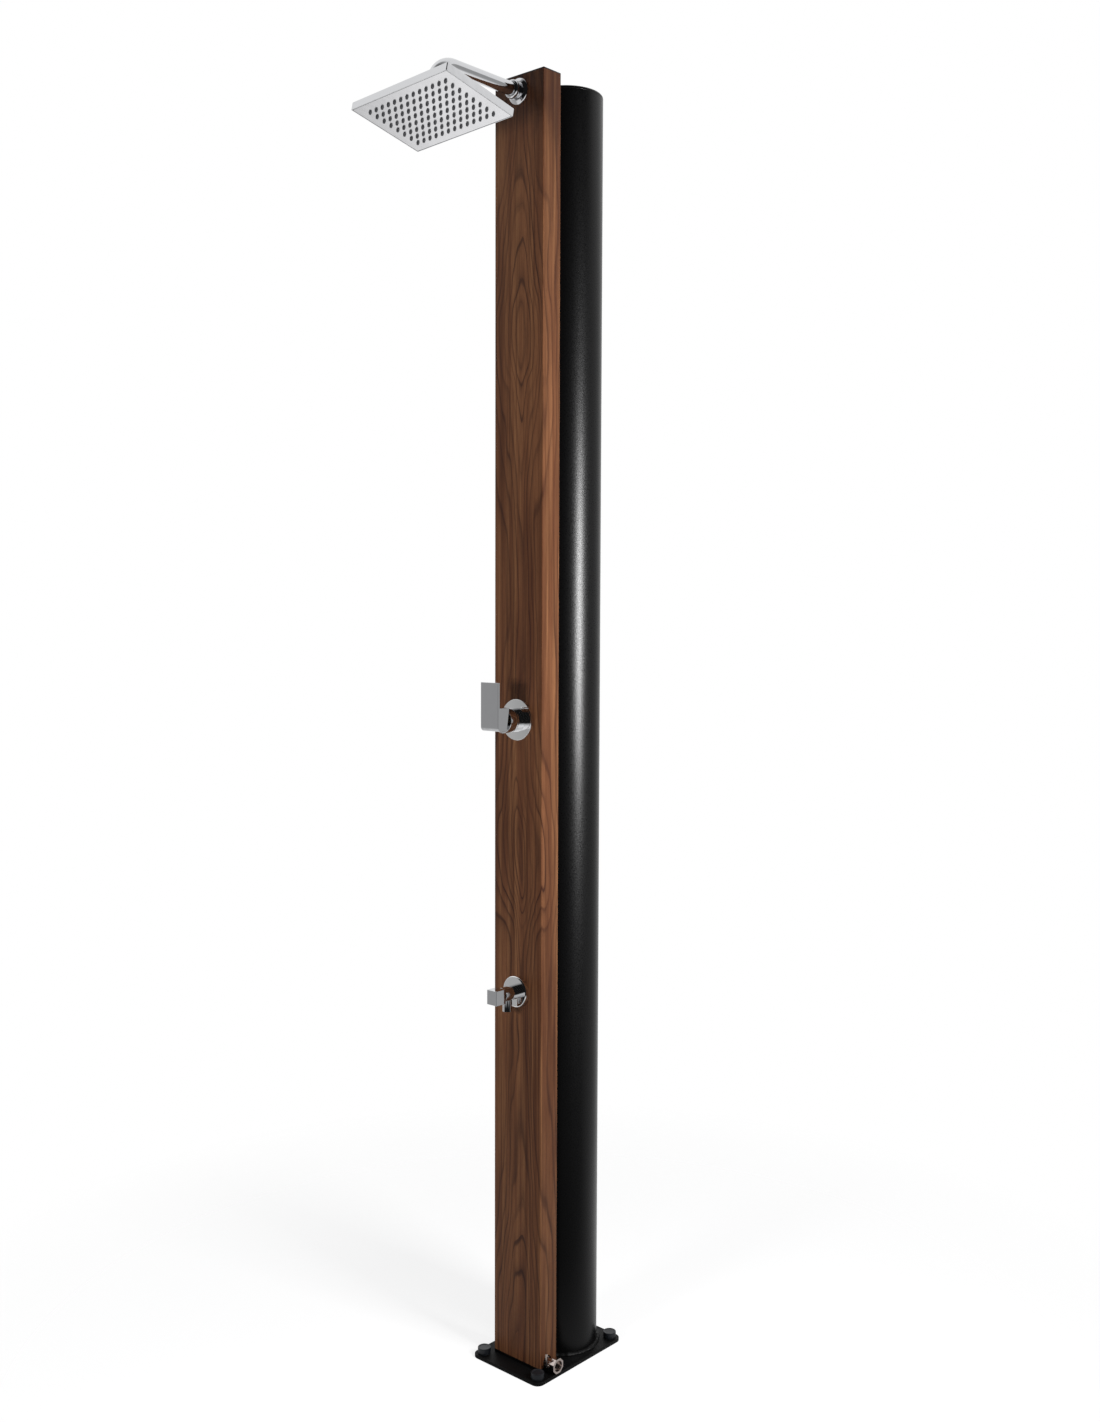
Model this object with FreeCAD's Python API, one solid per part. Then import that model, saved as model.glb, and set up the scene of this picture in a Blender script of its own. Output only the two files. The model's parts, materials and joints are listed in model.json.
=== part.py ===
"""Outdoor solar shower post: a column with its taps and rain head, a tank tube behind it, one base plate.

Frame: +Z up, X to the right seen from the front, the front face looks along -Y.
The origin is the centre of the four anchor holes, on the underside of the base plate.
Everything on the column's front face is placed by its height and by how far it stands out of that face.
"""
import FreeCAD, Part
import math
import os

V = FreeCAD.Vector
X, Y, Z = V(1, 0, 0), V(0, 1, 0), V(0, 0, 1)
LEFT, BACK, DOWN, OUT = V(-1, 0, 0), V(0, 1, 0), V(0, 0, -1), V(0, -1, 0)

# ---------------------------------------------------------------- driving dimensions, mm
# base
base_width = 160.0
base_depth = 225.0
base_thick = 6.0
base_corner = 14.0
anchor_inset = 16.0             # from the plate's edges to the anchor holes' centres
anchor_hole_r = 5.5
bead_width = 5.5                # weld bead round the foot of the tank tube
bead_height = 4.5
bolt_cap_r = 11.5
bolt_cap_height = 11.0
bolt_cap_wall = 1.6
bolt_cap_neck = 2.0             # the narrower ring the cap stands on
# column
post_height = 2200.0
column_width = 110.0
column_depth = 42.0
column_wall = 2.5
column_edge_r = 1.2
column_setback = 32.5           # from the base's front edge to the column's front face
foot_flange = 5.0               # the black step that shows under the column
foot_skirt = 34.0
foot_wall = 3.0
cap_thick = 2.0
cap_skirt = 8.0
# tank
tank_r = 64.0
tank_wall = 3.0
tank_gap = 10.0                 # air gap between the column's back and the tank
tank_below_top = 8.0
tank_cap_thick = 5.0
tank_cap_skirt = 15.0
tank_cap_edge = 3.5
tank_floor_thick = 4.0
bracket_heights = (700.0, 1500.0)
bracket_width = 40.0
bracket_height = 40.0
bracket_screw_span = 24.0
# pipework inside
pipe_r = 8.0
pipe_wall = 2.0
pipe_set_in = 18.0              # from the column's front face to the plane of the pipes
riser_offset = 36.0             # cold pipe on the right, hot pipe on the left
mixed_offset = 22.0             # the mixed riser steps aside to pass the hot elbow
fitting_wall = 2.5
fitting_reach = 18.0
short_reach = 13.0
pipe_stop = 8.5                 # from a fitting's centre to the end of the pipe in it
fitting_lip = 1.5
riser_bend = 40.0
feed_height = 80.0
hot_below_top = 140.0           # from the post's top down to the hot crossing
pickup_below_top = 50.0         # from the post's top down to the end of the pickup
nipple_into_tank = 14.0
crossing_seal_width = 7.0
crossing_nut_flats = 26.0
crossing_nut_thick = 6.0
# screws that hold the frame together
screw_r = 2.0
screw_head_r = 3.8
screw_head_thick = 2.2
screw_length = 9.0
# mixer
mixer_height = 1134.0
mixer_barrel_r = 23.0
mixer_barrel_length = 27.5
mixer_neck_r = 19.2
mixer_neck_length = 31.0
cartridge_r = 17.5
cartridge_back = 6.0            # stands this far out of the column's face
cartridge_length = 21.0
cartridge_boss_r = 12.8
cartridge_boss_length = 6.0
cartridge_cavity_r = 14.0
guide_r = 10.0
disc_thick = 3.5
port_r = 3.5
port_side = 8.0
port_drop = 5.0
port_rise = 9.0
pivot_out = 25.0                # the lever's pivot pin, from the column's face
pin_r = 1.5
stem_width = 9.0
stem_height = 8.0
stem_end_out = 53.0
stem_ball_r = 2.4
stem_ball_out = 17.1
mixer_rosette_r = 35.0
mixer_rosette_thick = 5.5
clamp_nut_thick = 2.4
clamp_nut_r = 27.0
sleeve_r = 20.8
sleeve_end = 39.0
sleeve_opening_r = 12.5
lever_width = 40.0
lever_front = 69.5
blade_thick = 4.0
blade_top = 65.5                # above the mixer's axis
hub_top = 23.0
hub_bottom = 16.0
hub_back_top = 42.6
hub_back_bottom = 48.6
hub_nose_r = 7.0
grub_r = 2.5
# foot tap
tap_height = 666.0
tap_neck_r = 10.4
tap_rosette_r = 27.0
tap_rosette_thick = 8.5
tap_barrel_r = 12.5
tap_barrel_end = 40.5
tap_spout_r = 8.2
tap_spout_out = 25.5
tap_spout_drop = 30.0
tap_chamber_r = 9.0
tap_nut_flats = 27.0
tap_spindle_r = 4.0
tap_disc_r = 6.7
tap_disc_thick = 3.0
tap_seat_thick = 1.2
tap_handle_width = 22.0
tap_handle_height = 25.0
tap_handle_back = 41.2
tap_handle_front = 63.7
# shower arm
arm_below_top = 28.0            # from the post's top down to the arm's axis
arm_r = 11.0
arm_wall = 1.5
arm_thread_r = 10.4
arm_reach = 195.0
arm_bend = 44.0
arm_drop = 66.0                 # from the arm's axis down to the centre of the ball
arm_flange_r = 21.35
arm_flange_thick = 7.0
arm_collar_r = 15.0
arm_collar_out = 12.5
arm_collar_length = 8.5
wall_elbow_r = 14.0
wall_plate_width = 48.0
wall_plate_height = 32.0
wall_plate_thick = 3.0
wall_screw_side = 15.5
# ball joint
ball_r = 10.5
ball_neck_r = 6.5
ball_ring_thick = 1.95
ball_sleeve_wall = 2.0
ball_sleeve_low = 14.0          # above the ball's centre, clear of the tilted nut
ball_sleeve_length = 8.0
ball_sleeve_floor = 3.0
nut_r = 16.5
nut_top = 7.5
nut_lip_angle = 62.0            # from the head's axis, degrees
head_neck_r = 14.4
# rain head
head_width = 220.0
head_depth = 142.0
head_thick = 13.0
head_wall = 1.6
head_corner_r = 4.0
head_drop = 18.5                # from the ball's centre to the underside
head_turn = -1.77               # how the head stands in its ball joint, degrees
head_tilt = -13.72
head_roll = -2.08
face_plate_thick = 2.0
face_plate_gap = 0.4
face_plate_recess = 0.3
mat_thick = 1.5
nozzle_columns = 13
nozzle_rows = 8
nozzle_pitch = 14.5
nozzle_base_r = 2.7
nozzle_tip_r = 1.9
nozzle_out = 3.5
nozzle_bore_r = 0.6
# drain and supply valve
valve_height = 19.5
valve_body_r = 6.8
valve_stem_side = 11.0          # from the column's side face to the valve's stem
valve_union_flats = 25.0
valve_union_start = 16.5
valve_union_end = 26.0
valve_thread_r = 9.3
valve_thread_length = 8.0
valve_chamber_r = 5.2
valve_ball_r = 4.7
valve_bore_r = 3.0
valve_stem_r = 1.8
valve_boss_r = 3.5
valve_boss_out = 9.0            # from the valve's axis, towards the front
valve_lever_width = 4.0
valve_lever_thick = 1.5
valve_lever_top = 21.5
valve_nut_flats = 5.5
valve_nut_thick = 2.2
valve_notch_r = 10.0
# clearances
run_gap = 0.06                  # radial, a shaft that turns in its bore
slide_gap = 0.1                 # flat faces that slide past each other
free_gap = 0.3                  # moving pieces that pass without touching
hole_gap = 0.3                  # radial, a fixed piece through a hole in a wall
small_edge = 0.6                # the rounding of small pieces' edges

# ---------------------------------------------------------------- places that follow from them
anchor_span_x = base_width - 2 * anchor_inset
anchor_span_y = base_depth - 2 * anchor_inset
arm_height = post_height - arm_below_top
hot_height = post_height - hot_below_top
pickup_top = post_height - pickup_below_top
column_front = -base_depth / 2 + column_setback
column_back = column_front + column_depth
pipe_y = column_front + pipe_set_in
tank_y = column_back + tank_gap + tank_r
tank_bore_r = tank_r - tank_wall
tank_top = post_height - tank_below_top
column_side = column_width / 2
column_bottom = base_thick + foot_flange
column_top = post_height - cap_thick
fitting_r = pipe_r + fitting_wall
water_r = pipe_r - pipe_wall
ball_centre = V(0, column_front - arm_reach, arm_height - arm_drop)
cup_r = ball_r + run_gap + ball_ring_thick + run_gap
wall_elbow_back = pipe_set_in - wall_plate_thick
valve_axis = V(0, pipe_y, valve_height)
crossing_heights = (feed_height, hot_height)


# ---------------------------------------------------------------- helpers
def on_front(out, height, side=0.0):
    """The point that stands `out` from the column's front face, at that height."""
    return V(side, column_front - out, height)


def rod(radius, length, base, axis):
    return Part.makeCylinder(radius, length, base, axis)


def ring(outer_r, inner_r, length, base, axis):
    return rod(outer_r, length, base, axis).cut(rod(inner_r, length, base, axis))


def box(x_low, x_high, y_low, y_high, z_low, z_high):
    return Part.makeBox(x_high - x_low, y_high - y_low, z_high - z_low, V(x_low, y_low, z_low))


def rounded_box(x_half, y_low, y_high, z_low, z_high, radius):
    """A box whose four upright edges are rounded."""
    body = box(-x_half, x_half, y_low, y_high, z_low, z_high)
    upright = [e for e in body.Edges if abs(e.Vertexes[0].Z - e.Vertexes[-1].Z) > 1e-6]
    return body.makeFillet(radius, upright)


def turned(points, base, axis):
    """Turn an outline of (radius, distance along the axis) points into a solid of revolution."""
    corners = [V(r, 0, along) for r, along in points]
    face = Part.Face(Part.makePolygon(corners + corners[:1]))
    solid = face.revolve(V(), Z, 360)
    solid.Placement = FreeCAD.Placement(base, FreeCAD.Rotation(Z, axis))
    return solid


def prism(sides, across_flats, length, base, axis):
    """A regular bar, such as a hexagon nut, with one flat face down or to the back."""
    radius = across_flats / 2 / math.cos(math.pi / sides)
    steps = [math.pi * (2 * i + 1) / sides for i in range(sides)]
    corners = [V(radius * math.cos(a), radius * math.sin(a), 0) for a in steps]
    solid = Part.Face(Part.makePolygon(corners + corners[:1])).extrude(V(0, 0, length))
    solid.Placement = FreeCAD.Placement(base, FreeCAD.Rotation(Z, axis))
    return solid


def softened(shape, radius, chosen):
    """Round the edges that `chosen` picks out."""
    return shape.makeFillet(radius, [e for e in shape.Edges if chosen(e)])


def rims_at(distance, base, axis, radius):
    """Pick the round edges of one radius that lie at one distance along an axis."""
    def chosen(edge):
        if not isinstance(edge.Curve, Part.Circle):
            return False
        offset = (edge.Curve.Center - base).dot(axis)
        return abs(offset - distance) < 1e-4 and abs(edge.Curve.Radius - radius) < 1e-4
    return chosen


def route(points, bend):
    """Straight runs joined by tangent arcs of one radius."""
    edges = []
    start = points[0]
    for before, corner, after in zip(points, points[1:], points[2:]):
        back = (before - corner).normalize()
        ahead = (after - corner).normalize()
        turn = math.pi - back.getAngle(ahead)
        reach = bend * math.tan(turn / 2)
        inward = (back + ahead).normalize()
        first, last = corner + back * reach, corner + ahead * reach
        middle = corner + inward * (bend / math.cos(turn / 2) - bend)
        edges.append(Part.LineSegment(start, first).toShape())
        edges.append(Part.Arc(first, middle, last).toShape())
        start = last
    edges.append(Part.LineSegment(start, points[-1]).toShape())
    return Part.Wire(edges)


def swept(points, bend, radius):
    """A round bar along a route."""
    start = Part.Wire(Part.makeCircle(radius, points[0], points[1] - points[0]))
    return route(points, bend).makePipeShell([start], True, False)


def bent_tube(points, bend, radius, wall):
    return swept(points, bend, radius).cut(swept(points, bend, radius - wall))


def straight_pipe(start, end):
    return ring(pipe_r, water_r, (end - start).Length, start, (end - start).normalize())


def fitting(centre, mouths, spigots=()):
    """A pipe fitting: a socket at the end of each mouth, a plain end on each spigot.

    mouths and spigots are (direction, reach) pairs from the fitting's centre.
    """
    body = Part.makeSphere(fitting_r, centre)
    for way, reach in mouths:
        arm = rod(fitting_r, reach, centre, way)
        lip = rod(fitting_r + fitting_lip, fitting_lip * 2, centre + way * (reach - fitting_lip * 2), way)
        body = body.fuse([arm, lip])
    for way, reach in spigots:
        body = body.fuse(rod(pipe_r, reach, centre, way))
    bores = [Part.makeSphere(water_r, centre)]
    for way, reach in mouths:
        bores.append(rod(water_r, pipe_stop, centre, way))
        bores.append(rod(pipe_r, reach - pipe_stop, centre + way * pipe_stop, way))
    for way, reach in spigots:
        bores.append(rod(water_r, reach, centre, way))
    return body.cut(bores)


def pan_screw(under_head, way):
    """A frame screw whose head rests at `under_head` and whose shank runs along `way`."""
    head = rod(screw_head_r, screw_head_thick, under_head, way * -1)
    head = head.cut(prism(6, screw_r * 1.25, screw_head_thick / 2, under_head - way * screw_head_thick, way))
    return head.fuse(rod(screw_r, screw_length, under_head, way))


def group(solids):
    """Several separate solids that share one node."""
    return Part.makeCompound(list(solids))


# ---------------------------------------------------------------- places used by more than one piece
def anchor_places(height):
    return [V(sx * anchor_span_x / 2, sy * anchor_span_y / 2, height) for sx in (-1, 1) for sy in (-1, 1)]


def bracket_screw_places():
    spans = (-bracket_screw_span / 2, bracket_screw_span / 2)
    return [V(0, column_back - column_wall, z + s) for z in bracket_heights for s in spans]


def foot_screw_places():
    rise = column_bottom + foot_skirt / 2
    return [V(side * column_width / 4, column_back, rise) for side in (-1, 1)]


def wall_screw_places():
    return [on_front(0, arm_height, side * wall_screw_side) for side in (-1, 1)]


def crossing_hole(height, radius):
    """A hole from the pipes' plane into the tank."""
    return rod(radius, tank_y - pipe_y, V(0, pipe_y, height), BACK)


# ---------------------------------------------------------------- base
def base_plate():
    plate = rounded_box(base_width / 2, -base_depth / 2, base_depth / 2, 0, base_thick, base_corner)
    foot = V(0, tank_y, base_thick)
    low, high = V(tank_r + bead_width, 0, 0), V(tank_r, 0, bead_height)
    hollow = V(tank_r + bead_width * 0.38, 0, bead_height * 0.38)
    corner = V(tank_r, 0, 0)
    outline = Part.Wire([Part.LineSegment(corner, low).toShape(), Part.Arc(low, hollow, high).toShape(),
                         Part.LineSegment(high, corner).toShape()])
    bead = Part.Face(outline).revolve(V(), Z, 360)
    bead.translate(foot)
    holes = [rod(anchor_hole_r, base_thick, p, Z) for p in anchor_places(0)]
    return plate.fuse(bead).cut(holes)


def bolt_caps():
    caps = []
    inner_r = bolt_cap_r - bolt_cap_wall
    for p in anchor_places(base_thick):
        neck = rod((bolt_cap_r + inner_r) / 2, bolt_cap_neck, p, Z)
        cap = rod(bolt_cap_r, bolt_cap_height - bolt_cap_neck, p + Z * bolt_cap_neck, Z)
        cap = softened(cap, bolt_cap_wall / 2, rims_at(bolt_cap_height, p, Z, bolt_cap_r))
        caps.append(neck.fuse(cap).cut(rod(inner_r, bolt_cap_height - bolt_cap_wall, p, Z)))
    return group(caps)


# ---------------------------------------------------------------- column
def column_inside(height_low, height_high, inset):
    """A block that fills the column's bore, less a margin on each side."""
    margin = column_wall + inset
    return box(-column_side + margin, column_side - margin, column_front + margin, column_back - margin,
               height_low, height_high)


def valve_hole(radius, start, length):
    return rod(radius, length, valve_axis + X * start, X)


def column_foot():
    outer = rounded_box(column_side, column_front, column_back, base_thick, column_bottom, column_edge_r)
    skirt = column_inside(column_bottom, column_bottom + foot_skirt, 0)
    opening = column_inside(base_thick, column_bottom + foot_skirt, foot_wall)
    frame = outer.fuse(skirt).cut(opening)
    frame = frame.cut(valve_hole(pipe_r + hole_gap, 0, column_side))
    return frame.cut([rod(screw_r, screw_length, p, OUT) for p in foot_screw_places()])


def column_profile():
    outer = rounded_box(column_side, column_front, column_back, column_bottom, column_top, column_edge_r)
    body = outer.cut(column_inside(column_bottom, column_top, 0))
    front_holes = [(arm_thread_r, arm_height), (mixer_neck_r, mixer_height), (tap_neck_r, tap_height)]
    cuts = [rod(r + hole_gap, column_wall * 3, on_front(-column_wall * 2, z), OUT) for r, z in front_holes]
    cuts += [crossing_hole(z, pipe_r + hole_gap) for z in crossing_heights]
    cuts += [rod(screw_r, screw_length, p, BACK) for p in bracket_screw_places() + wall_screw_places()]
    cuts += [rod(screw_r, screw_length, p, OUT) for p in foot_screw_places()]
    notch_low = column_bottom - free_gap
    notch = box(column_side - column_wall * 2, column_side + column_wall, pipe_y - valve_notch_r,
                pipe_y + valve_notch_r, notch_low, valve_height)
    cuts += [notch, valve_hole(valve_notch_r, column_side - column_wall * 2, column_wall * 3)]
    return body.cut(cuts)


def column_top_cap():
    lid = rounded_box(column_side, column_front, column_back, column_top, post_height, column_edge_r)
    skirt = column_inside(column_top - cap_skirt, column_top, 0)
    hollow = column_inside(column_top - cap_skirt, column_top, foot_wall)
    return lid.fuse(skirt.cut(hollow))


def frame_screws():
    screws = [pan_screw(p, BACK) for p in bracket_screw_places() + wall_screw_places()]
    screws += [pan_screw(p, OUT) for p in foot_screw_places()]
    return group(screws)


# ---------------------------------------------------------------- tank
def tank_tube():
    foot = V(0, tank_y, base_thick)
    length = tank_top - tank_cap_thick - base_thick
    return ring(tank_r, tank_bore_r, length, foot, Z).cut(
        [crossing_hole(z, pipe_r + hole_gap) for z in crossing_heights])


def tank_seal_height():
    return tank_top - tank_cap_thick - tank_cap_skirt / 2


def tank_seal_depth():
    return tank_wall * 0.6


def tank_top_cap():
    under = tank_top - tank_cap_thick
    lid = rod(tank_r, tank_cap_thick, V(0, tank_y, under), Z)
    lid = softened(lid, tank_cap_edge, rims_at(tank_cap_thick, V(0, tank_y, under), Z, tank_r))
    foot = V(0, tank_y, under - tank_cap_skirt)
    skirt = ring(tank_bore_r - run_gap, tank_bore_r - tank_wall * 1.5, tank_cap_skirt, foot, Z)
    depth = tank_seal_depth()
    groove = ring(tank_bore_r, tank_bore_r - depth, depth * 2, V(0, tank_y, tank_seal_height() - depth), Z)
    return lid.fuse(skirt).cut(groove)


def tank_cap_seal():
    depth = tank_seal_depth()
    return ring(tank_bore_r, tank_bore_r - depth, depth * 2, V(0, tank_y, tank_seal_height() - depth), Z)


def tank_floor():
    return rod(tank_bore_r, tank_floor_thick, V(0, tank_y, base_thick), Z)


def tank_brackets():
    holder = rod(tank_r, post_height, V(0, tank_y, 0), Z)
    brackets = []
    for z in bracket_heights:
        block = box(-bracket_width / 2, bracket_width / 2, column_back, tank_y,
                    z - bracket_height / 2, z + bracket_height / 2)
        holes = [rod(screw_r, screw_length, p, BACK) for p in bracket_screw_places()]
        brackets.append(block.cut([holder] + holes).common(
            box(-bracket_width, bracket_width, column_back, tank_y - tank_r / 2, 0, post_height)))
    return group(solid for bracket in brackets for solid in bracket.Solids)


# ---------------------------------------------------------------- pipework
def elbow_centres():
    """Where the plain elbows sit: supply, tank feed, foot tap and hot outlet."""
    return {
        "supply": V(riser_offset, pipe_y, valve_height),
        "feed": V(0, pipe_y, feed_height),
        "tap": V(0, pipe_y, tap_height),
        "hot": V(0, pipe_y, hot_height),
    }


def supply_reach():
    """The supply elbow's short mouth ends at the foot's inner wall."""
    return column_side - column_wall - foot_wall - riser_offset - free_gap


def pipe_elbows():
    at = elbow_centres()
    tap_reach = short_reach
    return group([
        fitting(at["supply"], [(X, supply_reach()), (Z, fitting_reach)]),
        fitting(at["feed"], [(X, fitting_reach), (BACK, fitting_reach)]),
        fitting(at["tap"], [(X, fitting_reach), (OUT, tap_reach)]),
        fitting(at["hot"], [(BACK, fitting_reach), (DOWN, fitting_reach)]),
    ])


def pipe_tees():
    tees = []
    for z in (feed_height, tap_height):
        ways = [(DOWN, fitting_reach), (Z, fitting_reach), (LEFT, fitting_reach)]
        tees.append(fitting(V(riser_offset, pipe_y, z), ways))
    return group(tees)


def cold_pipes():
    low, high = valve_height + pipe_stop, feed_height - pipe_stop
    pipes = [straight_pipe(V(riser_offset, pipe_y, low), V(riser_offset, pipe_y, high))]
    for low, high in ((feed_height, tap_height), (tap_height, mixer_height)):
        start = V(riser_offset, pipe_y, low + pipe_stop)
        pipes.append(straight_pipe(start, V(riser_offset, pipe_y, high - pipe_stop)))
    for z in (feed_height, tap_height):
        pipes.append(straight_pipe(V(pipe_stop, pipe_y, z), V(riser_offset - pipe_stop, pipe_y, z)))
    return group(pipes)


def mixer_port_depth():
    """How far from the mixer's axis the side pipes stop."""
    return mixer_barrel_r / 2


def mixer_elbows():
    spigot = riser_offset - mixer_port_depth()
    cold = fitting(V(riser_offset, pipe_y, mixer_height), [(DOWN, fitting_reach)], [(LEFT, spigot)])
    hot = fitting(V(-riser_offset, pipe_y, mixer_height), [(Z, fitting_reach)], [(X, spigot)])
    return group([cold, hot])


def hot_downpipe():
    top = hot_height - pipe_stop
    step_high = top - riser_bend
    step_low = step_high - riser_offset * 2
    points = [V(0, pipe_y, top), V(0, pipe_y, step_high), V(-riser_offset, pipe_y, step_low),
              V(-riser_offset, pipe_y, mixer_height + pipe_stop)]
    return bent_tube(points, riser_bend, pipe_r, pipe_wall)


def mixed_riser():
    bottom = mixer_height + mixer_port_depth()
    top = arm_height - pipe_stop
    out_low = bottom + fitting_reach * 2
    out_high = out_low + mixed_offset * 2
    in_high = top - fitting_reach
    in_low = in_high - mixed_offset * 2
    points = [V(0, pipe_y, bottom), V(0, pipe_y, out_low), V(mixed_offset, pipe_y, out_high),
              V(mixed_offset, pipe_y, in_low), V(0, pipe_y, in_high), V(0, pipe_y, top)]
    return bent_tube(points, riser_bend * 0.6, pipe_r, pipe_wall)


def nipple_end():
    return tank_y - tank_bore_r + nipple_into_tank


def crossing_nipples():
    return group(straight_pipe(V(0, pipe_y + pipe_stop, z), V(0, nipple_end(), z)) for z in crossing_heights)


def washer_face():
    """Where the curved tank wall leaves room for a flat nut, on the tank's inside."""
    half = crossing_nut_flats / math.sqrt(3)
    return tank_y - math.sqrt(tank_bore_r ** 2 - half ** 2)


def crossing_seals():
    seal_r = pipe_r + crossing_seal_width
    shell = rod(tank_r, post_height, V(0, tank_y, 0), Z)
    inside = rod(tank_bore_r, post_height, V(0, tank_y, 0), Z)
    seals = []
    for z in crossing_heights:
        outer = ring(seal_r, pipe_r, tank_gap * 2, V(0, column_back, z), BACK)
        seals.append(outer.cut(shell))
        start = tank_y - tank_bore_r
        inner = ring(seal_r, pipe_r, washer_face() - start, V(0, start, z), BACK)
        seals.append(inner.common(inside))
    return group(solid for seal in seals for solid in seal.Solids)


def crossing_nuts():
    nuts = []
    for z in crossing_heights:
        place = V(0, washer_face(), z)
        nut = prism(6, crossing_nut_flats, crossing_nut_thick, place, BACK)
        nuts.append(nut.cut(rod(pipe_r, crossing_nut_thick, place, BACK)))
    return group(nuts)


def hot_pickup():
    """The elbow and tube that take the hottest water from the top of the tank."""
    centre = V(0, nipple_end() + pipe_stop, hot_height)
    mouth = nipple_end() + pipe_stop - (washer_face() + crossing_nut_thick) - free_gap
    elbow = fitting(centre, [(OUT, mouth), (Z, fitting_reach)])
    tube = straight_pipe(centre + Z * pipe_stop, V(0, centre.y, pickup_top))
    return group([elbow, tube])


def wall_elbow():
    """The elbow behind the front face that the shower arm screws into."""
    centre = V(0, pipe_y, arm_height)
    body = fitting(centre, [(DOWN, fitting_reach)])
    boss = rod(wall_elbow_r, wall_elbow_back, centre, OUT)
    plate = box(-wall_plate_width / 2, wall_plate_width / 2, column_front + column_wall,
                column_front + column_wall + wall_plate_thick,
                arm_height - wall_plate_height / 2, arm_height + wall_plate_height / 2)
    thread_start = pipe_set_in - column_wall
    bores = [rod(arm_thread_r, thread_start, centre + OUT * pipe_stop / 2, OUT),
             rod(water_r, fitting_reach, centre, DOWN), Part.makeSphere(water_r, centre),
             rod(pipe_r, fitting_reach - pipe_stop, centre + DOWN * pipe_stop, DOWN)]
    holes = [rod(screw_r, screw_length, p, BACK) for p in wall_screw_places()]
    return body.fuse([boss, plate]).cut(bores + holes)


# ---------------------------------------------------------------- mixer
def mixer_axis(out):
    return on_front(out, mixer_height)


def port_places(out):
    """The hot, cold and mixed ports, seen from the front."""
    return [on_front(out, mixer_height - port_drop, side * port_side) for side in (-1, 1)] + [
        on_front(out, mixer_height + port_rise)]


def mixer_body():
    barrel_back = -(column_wall + mixer_barrel_length)
    body = rod(mixer_barrel_r, mixer_barrel_length, mixer_axis(barrel_back), OUT)
    neck = rod(mixer_neck_r, column_wall + mixer_neck_length, mixer_axis(-column_wall), OUT)
    seat = rod(cartridge_r + run_gap, mixer_neck_length - cartridge_back, mixer_axis(cartridge_back), OUT)
    centre = V(0, pipe_y, mixer_height)
    depth = mixer_port_depth()
    cuts = [seat]
    for side in (-1, 1):
        way = X * side
        cuts.append(rod(pipe_r, mixer_barrel_r, centre + way * depth, way))
        cuts.append(rod(water_r, depth, centre + way * (port_side - port_r), way))
    cuts.append(rod(pipe_r, mixer_barrel_r, centre + Z * depth, Z))
    cuts.append(rod(water_r, depth, centre + Z * (port_rise - port_r / 2), Z))
    cuts += [rod(port_r, pipe_set_in + cartridge_back, p, OUT) for p in port_places(-pipe_set_in)]
    return body.fuse(neck).cut(cuts)


def clamp_nuts():
    """The ring nut behind the mixer's rosette and the hexagon nut behind the tap's front wall."""
    mixer_nut = ring(clamp_nut_r, mixer_neck_r, clamp_nut_thick, mixer_axis(0), OUT)
    tap_start = on_front(-column_wall - clamp_nut_thick, tap_height)
    tap_nut = prism(6, tap_nut_flats, clamp_nut_thick, tap_start, OUT)
    return group([mixer_nut, tap_nut.cut(rod(tap_neck_r, clamp_nut_thick, tap_start, OUT))])


def mixer_rosette():
    disc = rod(mixer_rosette_r, mixer_rosette_thick, mixer_axis(0), OUT)
    disc = softened(disc, mixer_rosette_thick * 0.3,
                    rims_at(mixer_rosette_thick, mixer_axis(0), OUT, mixer_rosette_r))
    hollow = rod(clamp_nut_r + mixer_rosette_thick / 2, clamp_nut_thick + free_gap, mixer_axis(0), OUT)
    return disc.cut([hollow, rod(mixer_neck_r, mixer_rosette_thick, mixer_axis(0), OUT)])


def mixer_sleeve():
    inner_r = mixer_neck_r + free_gap
    front_wall = (sleeve_end - mixer_neck_length) * 0.35
    groove = (sleeve_r - inner_r) * 0.4
    split = (mixer_rosette_thick + sleeve_end) / 2
    edge = front_wall * 0.5
    outline = [(inner_r, mixer_rosette_thick), (sleeve_r, mixer_rosette_thick), (sleeve_r, split - groove),
               (sleeve_r - groove, split), (sleeve_r, split + groove), (sleeve_r, sleeve_end - edge),
               (sleeve_r - edge, sleeve_end), (sleeve_opening_r, sleeve_end),
               (sleeve_opening_r, sleeve_end - front_wall), (inner_r, sleeve_end - front_wall)]
    return turned(outline, mixer_axis(0), OUT)


def cartridge_front():
    return cartridge_back + cartridge_length


def cavity_back():
    return cartridge_back + cartridge_length * 0.1


def cavity_front():
    return cartridge_front() - cartridge_length / 7


def cartridge_housing():
    body = rod(cartridge_r, cartridge_length, mixer_axis(cartridge_back), OUT)
    boss = rod(cartridge_boss_r, cartridge_boss_length, mixer_axis(cartridge_front()), OUT)
    cavity = rod(cartridge_cavity_r, cavity_front() - cavity_back(), mixer_axis(cavity_back()), OUT)
    bore_length = cartridge_front() + cartridge_boss_length - cavity_back()
    bore = rod(guide_r + run_gap, bore_length, mixer_axis(cavity_back()), OUT)
    ports = [rod(port_r, cartridge_length / 2, p, OUT) for p in port_places(cartridge_back)]
    return body.fuse(boss).cut([cavity, bore] + ports)


def cartridge_nut():
    start = mixer_axis(cartridge_front())
    return ring(cartridge_r, cartridge_boss_r, mixer_neck_length - cartridge_front(), start, OUT)


def fixed_disc():
    disc = rod(cartridge_cavity_r, disc_thick, mixer_axis(cavity_back()), OUT)
    return disc.cut([rod(port_r, disc_thick, p, OUT) for p in port_places(cavity_back())])


def sliding_disc_back():
    return cavity_back() + disc_thick + slide_gap


def carrier_front():
    return stem_ball_out + stem_ball_r * 0.4


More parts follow.
